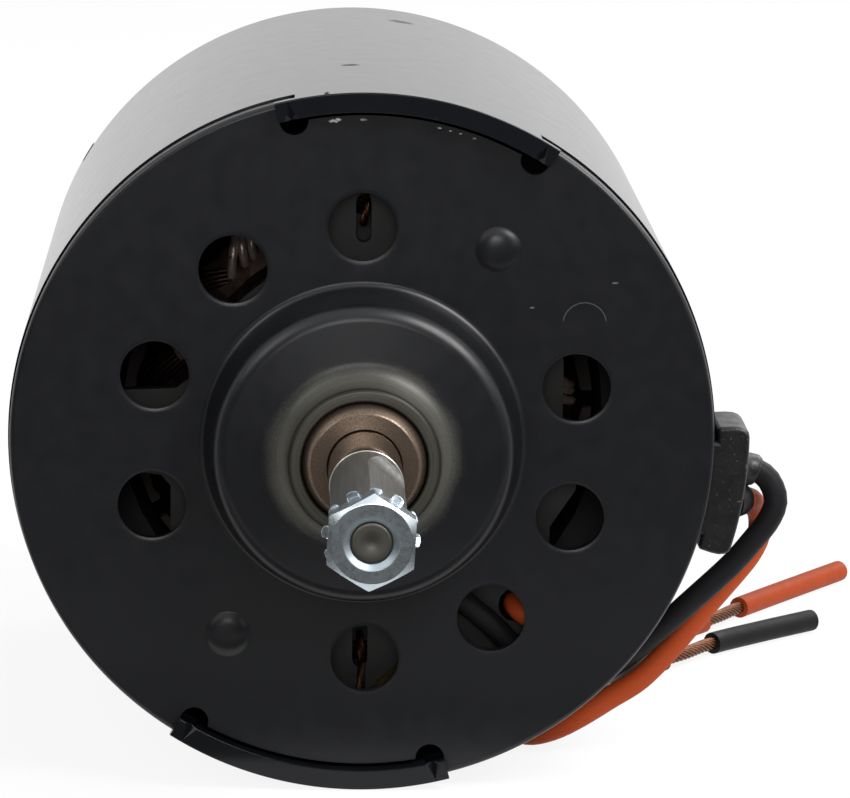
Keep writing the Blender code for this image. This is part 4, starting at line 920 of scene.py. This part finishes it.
class BLOWER_OT_yoke(bpy.types.Operator):
    """Rolls the steel tube with its tabs, stakes and notch, and the burr on the top tab."""

    bl_idname = "blower.yoke"
    bl_label = "Yoke"

    half_span = 20.4
    ear = 3.4

    def execute(self, context):
        sizes = settings()[0]
        radius, length, rise = sizes.yoke_radius / MM, sizes.case_length / MM, sizes.tab_rise / MM
        bore = radius - sizes.yoke_wall / MM
        front, rear = -2.5, -length + 2.5
        top, bottom = rise, -length - rise
        profile = rounded([
            (bore, (top + bottom) / 2, 0), (bore, top, 0.12), (radius, top, 0.14), (radius, bottom, 0.14),
            (bore, bottom, 0.12), (bore, (top + bottom) / 2, 0),
        ])
        yoke = drawn("rolled_yoke", spun(profile[:-1], 288))
        reach = self.half_span + self.ear
        rims, under, stakes = bmesh.new(), bmesh.new(), bmesh.new()
        for seat, tip, way, middles in ((front, top, 1, FRONT_TABS), (rear, bottom, -1, REAR_TABS)):
            low, high = sorted((seat, tip + 3 * way))
            for i, middle in enumerate(middles):
                end = middles[(i + 1) % 2] - reach + (360 if i else 0)
                prism(sector(bore - 3, radius + 3, middle + reach, end, 90), low, high, bm=rims)
            face = 0.3 if way > 0 else -length - 0.3
            # The cut under an ear goes a hair deeper than the rim's, so that no two faces coincide
            floor = seat - 0.01 * way
            for middle in middles:
                for side in (1, -1):
                    angle = middle + side * self.half_span
                    start, stop = sorted((angle, angle + side * (self.ear + 0.5)))
                    prism(sector(bore - 2, radius + 2, start, stop, 6), *sorted((floor, face)), bm=under)
                    self.stake(stakes, radius, bore, angle + side * math.degrees(0.8 / radius), tip, way)
        notch = prism(sector(bore - 2, radius + 2, -16.2, 0.2, 16), front - 9.6, front + 1)
        shaped(yoke, [("DIFFERENCE", cut) for cut in (rims, under, stakes, notch)])
        settled(yoke, finish("yoke_enamel"), "housing", ("yoke",))

        burr = bmesh.new()
        bmesh.ops.create_icosphere(burr, subdivisions=3, radius=0.42)
        for v in burr.verts:
            v.co.x *= 0.7 + 0.25 * math.sin(9 * v.co.z)
            v.co.y *= 0.75
            v.co.z *= 2.3
        bmesh.ops.translate(burr, vec=polar(radius - 0.1, 96.2, top - 0.95), verts=burr.verts)
        settled(drawn("tab_burr", burr), finish("yoke_enamel"), "housing")
        return {"FINISHED"}

    def stake(self, bm, radius, bore, angle, tip, way):
        """Adds a chisel mark: a wedge, deep inside the tube and shallow outside."""
        half = math.degrees(1.0 / bore)
        above = tip + 0.3 * way
        corners = [bm.verts.new(p) for p in (
            polar(radius + 0.6, angle, above), polar(bore - 0.5, angle - 1.3 * half, above),
            polar(bore - 0.5, angle + 1.3 * half, above), polar(bore - 0.5, angle, tip - 0.9 * way),
        )]
        trios = ((0, 1, 2), (0, 1, 3), (1, 2, 3), (2, 0, 3))
        made = [bm.faces.new([corners[i] for i in trio]) for trio in trios]
        bmesh.ops.recalc_face_normals(bm, faces=made)


def plate_cuts(radius, bore, middles, at):
    """The cuts in a plate's rim for the tabs: a shallow step for each, with a round relief at its ends."""
    low, high = sorted((at(-3.2), at(2.0)))
    inner, half_span = bore - 0.45, 21.3
    slots, reliefs = bmesh.new(), []
    for middle in middles:
        prism(sector(inner, radius + 2, middle - half_span, middle + half_span, 40), low, high, bm=slots)
        for side in (half_span, -half_span):
            hole = spun([(0, low - 1), (1.6, low - 1), (1.6, high + 1), (0, high + 1)], 32)
            bmesh.ops.translate(hole, vec=polar(inner + 0.2, middle + side), verts=hole.verts)
            reliefs.append(hole)
    return [("DIFFERENCE", slots), ("DIFFERENCE", joined(reliefs))]


# Both plates' profiles, as radius, height over the plate's face and fillet
PLATE_OUTSIDE = [
    (38.75, -2.2, 0), (38.75, 0, 0.6), (17.5, 0, 0.8), (16.25, 6.6, 2.0), (8.85, 7.36, 2.5),
    (8.15, 10.93, 0.45),
]
PLATE_INSIDE = [(14.1, 4.5, 0), (14.75, 4.3, 0.5), (15.0, -1.5, 0), (15.6, -2.2, 0)]


class BLOWER_OT_end_plates(bpy.types.Operator):
    """Stamps the end plates: the front one with vents, weld domes and a boss, the rear one closed."""

    bl_idname = "blower.end_plates"
    bl_label = "End plates"

    def execute(self, context):
        sizes = settings()[0]
        radius, length = sizes.yoke_radius / MM, sizes.case_length / MM
        bore = radius - sizes.yoke_wall / MM
        outside = rounded(PLATE_OUTSIDE + [(6.87, 10.95, 0.3), (6.87, 10.2, 0)], 8)
        seat = [(r, h + BALL_CENTRE) for r, h in arc(7.5, 20, 0, 4)]
        profile = outside + seat + [(7.5, 4.8)] + rounded(PLATE_INSIDE)
        plate = drawn("stamped_front_plate", spun(profile, 288))

        domes = []
        for angle in (56, 235.7):
            dome = spun([
                (0, -0.5), (2.75, -0.5), (2.65, -0.03), (2.45, 0.04), (2.3, 0.12), (2.1, 0.24), (1.85, 0.36),
                (1.5, 0.48), (1.1, 0.56), (0.7, 0.61), (0.3, 0.63), (0, 0.63),
            ], 48)
            bmesh.ops.translate(dome, vec=polar(sizes.dome_circle / MM, angle), verts=dome.verts)
            domes.append(dome)
        vents = []
        hole = sizes.vent_radius / MM
        for angle in (15.6, 90.8, 126.6, 161.5, 196.4, 270.8, 306.1, 340.6):
            vent = spun([
                (0, -3.2), (hole + 0.42, -3.2), (hole + 0.05, -1.0), (hole, -0.3), (hole + 0.02, -0.09),
                (hole + 0.2, -0.04), (hole + 0.66, 0.02), (hole + 0.7, 0.6), (0, 0.6),
            ], 64)
            at = polar(sizes.vent_circle / MM, angle) + Vector((0.1, -0.12, 0))
            bmesh.ops.translate(vent, vec=at, verts=vent.verts)
            vents.append(vent)
        shaped(plate, [("UNION", joined(domes)), ("DIFFERENCE", joined(vents))])
        shaped(plate, plate_cuts(radius, bore, FRONT_TABS, lambda h: h))
        settled(plate, finish("plate_enamel"), "housing", ("front_end_plate",), 14)

        outside = rounded(PLATE_OUTSIDE[:-1] + [(8.25, 11.4, 1.4), (0, 11.4, 0)], 8)
        closed = [(0, 9.27), (6.1, 9.27), (7.05, 7.3), (7.5, 4.9)] + rounded(PLATE_INSIDE)
        mirrored = [(r, -length - h) for r, h in closed + outside]
        rear = drawn("stamped_rear_plate", spun(mirrored, 288))
        shaped(rear, plate_cuts(radius, bore, REAR_TABS, lambda h: -length - h))
        settled(rear, finish("yoke_enamel"), "housing", ("rear_end_plate",))
        return {"FINISHED"}


class BLOWER_OT_bearings(bpy.types.Operator):
    """Turns the front bronze bearing and finishes the hidden bearing pieces."""

    bl_idname = "blower.bearings"
    bl_label = "Bearings"

    def execute(self, context):
        bore = settings()[1].shaft_radius / MM + 0.06
        centre, ball, face = BALL_CENTRE, 7.2, 4.27
        edge = math.sqrt(ball ** 2 - face ** 2)
        profile = [(bore, centre - face + 0.3), (bore, centre + face - 0.1), (bore + 0.1, centre + face)]
        profile += [(edge - 0.1, centre + face), (edge + 0.02, centre + face - 0.06)]
        profile += [(r, h + centre) for r, h in arc(ball, 35, -35, 12)]
        profile += [(edge - 0.3, centre - face), (bore + 0.3, centre - face)]
        ring = drawn("bronze_ball_bearing", spun(profile, 144))
        settled(ring, finish("bronze"), "housing", ("front_bearing",), 25)
        refinish(["rear_bearing"], "bronze")
        refinish(["front_bearing_retainer", "rear_bearing_retainer", "oil_slinger"], "spring_steel")
        refinish(["front_felt_wick", "rear_felt_wick"], "felt")
        refinish(["front_thrust_washer", "rear_thrust_washer"], "fibre")
        return {"FINISHED"}


class BLOWER_OT_shaft(bpy.types.Operator):
    """Grinds the shaft with its flat, and adds the toothed washer and the plated nut at its end."""

    bl_idname = "blower.shaft"
    bl_label = "Shaft, nut and washer"

    def execute(self, context):
        sizes = settings()[1]
        radius, shoulder = sizes.shaft_radius / MM, sizes.shaft_reach / MM
        tail, thread, end = -91.3, 2.08, shoulder + 3.7
        profile = rounded([
            (0, tail, 0), (radius, tail, 0.5), (radius, 22.15, 0), (radius - 0.05, 22.2, 0),
            (radius - 0.05, shoulder, 0.3), (thread, shoulder, 0), (thread, end, 0.25), (0.45, end, 0),
            (0.0, end - 0.2, 0),
        ])
        shaft = drawn("ground_shaft", spun(profile, 160))
        # The flat runs out in a curve towards the journal, as its round cutter leaves it
        ramp, level, deep = 4.6, 27.4, 1.05
        side = [(level - ramp - 2, radius + 1.5)]
        side += [
            (level - ramp * (1 - k / 8), radius - deep * math.sin(math.pi / 2 * k / 8)) for k in range(9)
        ]
        side += [(shoulder + 1, radius - deep), (shoulder + 1, radius + 1.5)]
        turned = Matrix.Rotation(math.radians(48), 4, "Z") @ Matrix(
            ((0, 1, 0, 0), (0, 0, 1, 0), (1, 0, 0, 0), (0, 0, 0, 1))
        )
        shaped(shaft, [("DIFFERENCE", prism(side, -radius - 1, radius + 1, turned))])
        settled(shaft, finish("shaft_steel"), "rotor", ("shaft",), 30)

        corner = sizes.nut_flats / MM / 2 / math.cos(math.pi / 6)
        back, bore, thick = shoulder + 1.1, thread + 0.3, 2.9
        hexagon = [tuple(polar(corner, 90 - 2.7 + 60 * i).xy) for i in range(6)]
        nut = drawn("plated_hex_nut", prism(hexagon, back, back + thick + 0.35))
        bevelled(nut, 0.12, 40, 3)
        front = back + thick
        turning = spun([
            (thread + 0.25, back - 0.02), (corner - 0.45, back - 0.02), (corner + 0.1, back + 0.35),
            (corner + 1, back + 0.35), (corner + 1, front - 1.1), (corner + 0.02, front - 0.62),
            (corner - 0.93, front - 0.02), (corner - 1.0, front), (2.82, front), (2.74, front - 0.03),
            (thread + 0.12, front - 0.42), (thread + 0.05, front - 0.5), (thread + 0.05, back + 0.2),
        ], 96)
        shaped(nut, [("INTERSECT", turning)])
        settled(nut, finish("zinc"), "rotor", ("hex_nut",), 12)

        washer = self.washer(shoulder + 0.3, bore)
        settled(washer, finish("zinc"), "rotor", ("lock_washer",), 30)
        return {"FINISHED"}

    def washer(self, back, bore):
        """A spring washer whose outer teeth are twisted so that each one bites."""
        bm = bmesh.new()
        outline = []
        for i in range(12):
            for r, share, twist in (
                (4.15, -0.5, 0), (4.15, -0.36, 0), (4.55, -0.28, 0.7), (4.84, -0.24, 1), (4.96, -0.15, 0.8),
                (5.0, 0.0, 0), (4.96, 0.15, -0.8), (4.84, 0.24, -1), (4.55, 0.28, -0.7), (4.15, 0.36, 0),
            ):
                outline.append((r, 30 * (i + share) - 5.5, twist))
        rings = []
        for level in (back, back + 0.5):
            outer = [bm.verts.new(polar(r, a, level + 0.25 * twist)) for r, a, twist in outline]
            inner = [bm.verts.new(polar(bore, a, level)) for r, a, twist in outline]
            rings.append((outer, inner))
        (low_out, low_in), (high_out, high_in) = rings
        for j in range(len(outline)):
            k = (j + 1) % len(outline)
            bm.faces.new((low_out[j], low_out[k], high_out[k], high_out[j]))
            bm.faces.new((low_in[k], low_in[j], high_in[j], high_in[k]))
            bm.faces.new((high_out[j], high_out[k], high_in[k], high_in[j]))
            bm.faces.new((low_out[k], low_out[j], low_in[j], low_in[k]))
        return bevelled(drawn("toothed_lock_washer", bm), 0.05, 60)


class BLOWER_OT_armature(bpy.types.Operator):
    """Winds the end turns of magnet wire over the winding, and finishes the core and the commutator."""

    bl_idname = "blower.armature"
    bl_label = "Armature"

    def execute(self, context):
        sizes = settings()[1]
        tree = turned_copies_tree()
        for end, foot, rise in (("front", -25.9, 5.5), ("rear", -62.1, -7.1)):
            lines = [self.wire(i, sizes.coil_wires, foot, rise) for i in range(sizes.coil_wires)]
            wires = grown(curve(end + "_end_turns", lines), tree, {
                "Copies": sizes.coils, "Wire Radius": sizes.wire_radius, "Finish": finish("varnished_copper_painted_shade"),
            })
            seated(wires, "rotor")
        # Three loops stand over the front end turns at each slot, painted bright as a highlight
        loop = ((24.4, -24.5), (24.2, -21.5), (23.3, -20.3), (22.0, -20.1), (20.9, -20.8), (20.2, -23.0))
        lines = [
            smooth_curve([polar(out, at + twist * (23.3 - out), deep) for out, deep in loop], 4)
            for at, twist in ((128.2, 2.6), (125.6, 1.3), (122.6, 1.1))
        ]
        loops = grown(curve("coil_loops", lines), tree, {
            "Copies": sizes.coils, "Wire Radius": 1.3 * sizes.wire_radius,
            "Finish": finish("enamelled_copper"),
        })
        seated(loops, "rotor")
        refinish(["armature_winding"], "varnished_copper_painted_shade")
        refinish(["armature_core"], "laminations")
        refinish(["front_insulator", "rear_insulator"], "fibre")
        refinish(["commutator_hub"], "phenolic")
        refinish(["commutator_bar_{:02d}".format(i + 1) for i in range(12)], "copper")
        return {"FINISHED"}

    def wire(self, number, count, foot, rise):
        """One wire of a coil: up out of a slot, over the end of the core and down into the fifth slot on."""
        share = (number + 0.5) / count
        out = 25.2 - 4.2 * share
        high = foot + rise * (0.55 + 0.38 * math.sin(math.pi * share))
        lean = 6.5 * (share - 0.5)
        points = [polar(out, lean, foot), polar(out, lean + 1, foot + 0.5 * (high - foot))]
        for k in range(11):
            part = k / 10
            dip = (out - 15.3) * math.sin(math.pi * part) ** 0.7
            points.append(polar(out - dip, 7 + 136 * part + lean, high))
        points += [polar(out, 149 + lean, foot + 0.5 * (high - foot)), polar(out, 150 + lean, foot)]
        return smooth_curve(points, 2)


class BLOWER_OT_brush_gear(bpy.types.Operator):
    """Braids the two pigtails and finishes the brush card, its gear and the magnets."""

    bl_idname = "blower.brush_gear"
    bl_label = "Brush gear and magnets"

    def execute(self, context):
        tree = twisted_strands_tree()
        for name, way in (("upper", 1), ("lower", -1)):
            # Out of the brush, down into the slot of the card and on to the terminal
            route = smooth_curve([(across, way * up, deep) for across, up, deep in (
                (0.0, 23.4, -7.9), (0.0, 23.6, -6.6), (0.05, 23.95, -5.6), (0.15, 24.8, -5.15),
                (0.22, 25.7, -5.6), (0.25, 26.15, -6.6), (0.2, 26.4, -6.6), (0.15, 27.3, -5.2),
                (0.1, 28.8, -4.8), (0.1, 31.2, -4.9),
            )])
            run = stretch(route, 0.0, length_of(route), 0.25)
            made = []
            for count, lay, twist in ((5, 0.14, 3.0), (8, 0.33, -2.6)):
                made.append(grown(curve(name + "_braided_pigtail", [run]), tree, {
                    "Strands": count, "Strand Radius": 0.12 * MM, "Lay Radius": lay * MM,
                    "Twist": TAU * length_of(run) / twist, "Finish": finish("copper"),
                }))
            braid = as_one(name + "_braided_pigtail", made)
            seated(braid, name + "_brush", (name + "_pigtail",))
        refinish(["brush_card"], "phenolic")
        refinish(["card_post_1", "card_post_2"], "bright_steel")
        for side in ("upper", "lower"):
            refinish([side + "_brush_holder", side + "_terminal"], "brass")
            refinish([side + "_brush"], "carbon")
            refinish([side + "_brush_spring", side + "_magnet_clip"], "spring_steel")
        refinish(["left_magnet", "right_magnet"], "ferrite")
        return {"FINISHED"}


class BLOWER_OT_grommet(bpy.types.Operator):
    """Moulds the grommet in the yoke's notch, with a hole for each lead."""

    bl_idname = "blower.grommet"
    bl_label = "Grommet"

    def execute(self, context):
        middle, half, stem = -8.0, 10.2, 8.2 - math.degrees(0.3 / 39.0)
        lift, inside, outer = 39.3, 36.5, 42.9
        low, high = middle - half, middle + half
        corner = ((42.8, 1.0), (42.4, 0.45), (41.8, 0.12), (41.0, 0.0))
        outline = [tuple(polar(r, low + a).xy) for r, a in reversed(corner)]
        outline += arc(outer, low + 1.7, high - 1.7, 20)
        outline += [tuple(polar(r, high - a).xy) for r, a in corner] + arc(lift, high, middle + stem, 3)
        outline += arc(inside, middle + stem, high - 0.4, 2) + arc(inside - 1.4, high - 0.4, low + 0.4, 16)
        outline += arc(inside, low + 0.4, middle - stem, 2) + arc(lift, middle - stem, low, 3)
        block = drawn("moulded_grommet", prism(outline, -11.8, -2.5))
        bevelled(block, 0.5, 50, 4)
        holes = []
        for up in (BLACK_UP, ORANGE_UP):
            hole = spun([(0, -12), (1.65, -12), (1.65, -0.6), (1.8, -0.2), (2.1, 0.15), (2.1, 3), (0, 3)], 32)
            tilt = Matrix.Rotation(math.pi / 2 + HOLE_TILT, 4, "Y")
            place = Matrix.Translation((MOUTH_X, up, MOUTH_DEPTH)) @ tilt
            bmesh.ops.transform(hole, matrix=place, verts=hole.verts)
            holes.append(hole)
        shaped(block, [("DIFFERENCE", hole) for hole in holes])
        settled(block, finish("rubber"), "housing", ("lead_grommet",), 40)
        return {"FINISHED"}


STEPS = ("stage", "leads", "yoke", "end_plates", "bearings", "shaft", "armature", "brush_gear", "grommet")


class BLOWER_PT_panel(bpy.types.Panel):
    """Lists the motor's sizes and colours, and a button for each group of pieces."""

    bl_label = "Blower motor"
    bl_space_type = "VIEW_3D"
    bl_region_type = "UI"
    bl_category = "Blower motor"

    def draw(self, context):
        for group in settings():
            box = self.layout.box()
            for key in group.bl_rna.properties.keys():
                if key not in ("rna_type", "name"):
                    box.prop(group, key)
        for step in STEPS:
            self.layout.operator("blower." + step)


CLASSES = (
    BlowerCaseSettings, BlowerTurningSettings, BlowerLeadSettings, BLOWER_OT_stage, BLOWER_OT_leads,
    BLOWER_OT_yoke, BLOWER_OT_end_plates, BLOWER_OT_bearings, BLOWER_OT_shaft, BLOWER_OT_armature,
    BLOWER_OT_brush_gear, BLOWER_OT_grommet, BLOWER_PT_panel,
)


def register():
    """Adds the classes and the three groups of settings to Blender."""
    for kind in CLASSES:
        bpy.utils.register_class(kind)
    bpy.types.Scene.blower_case = PointerProperty(type=BlowerCaseSettings)
    bpy.types.Scene.blower_turning = PointerProperty(type=BlowerTurningSettings)
    bpy.types.Scene.blower_leads = PointerProperty(type=BlowerLeadSettings)


def unregister():
    """Takes the settings and the classes out again."""
    del bpy.types.Scene.blower_leads, bpy.types.Scene.blower_turning, bpy.types.Scene.blower_case
    for kind in reversed(CLASSES):
        bpy.utils.unregister_class(kind)


def main():
    """Builds the stage and every piece in order."""
    register()
    for step in STEPS:
        getattr(bpy.ops.blower, step)()


if __name__ == "__main__":
    main()
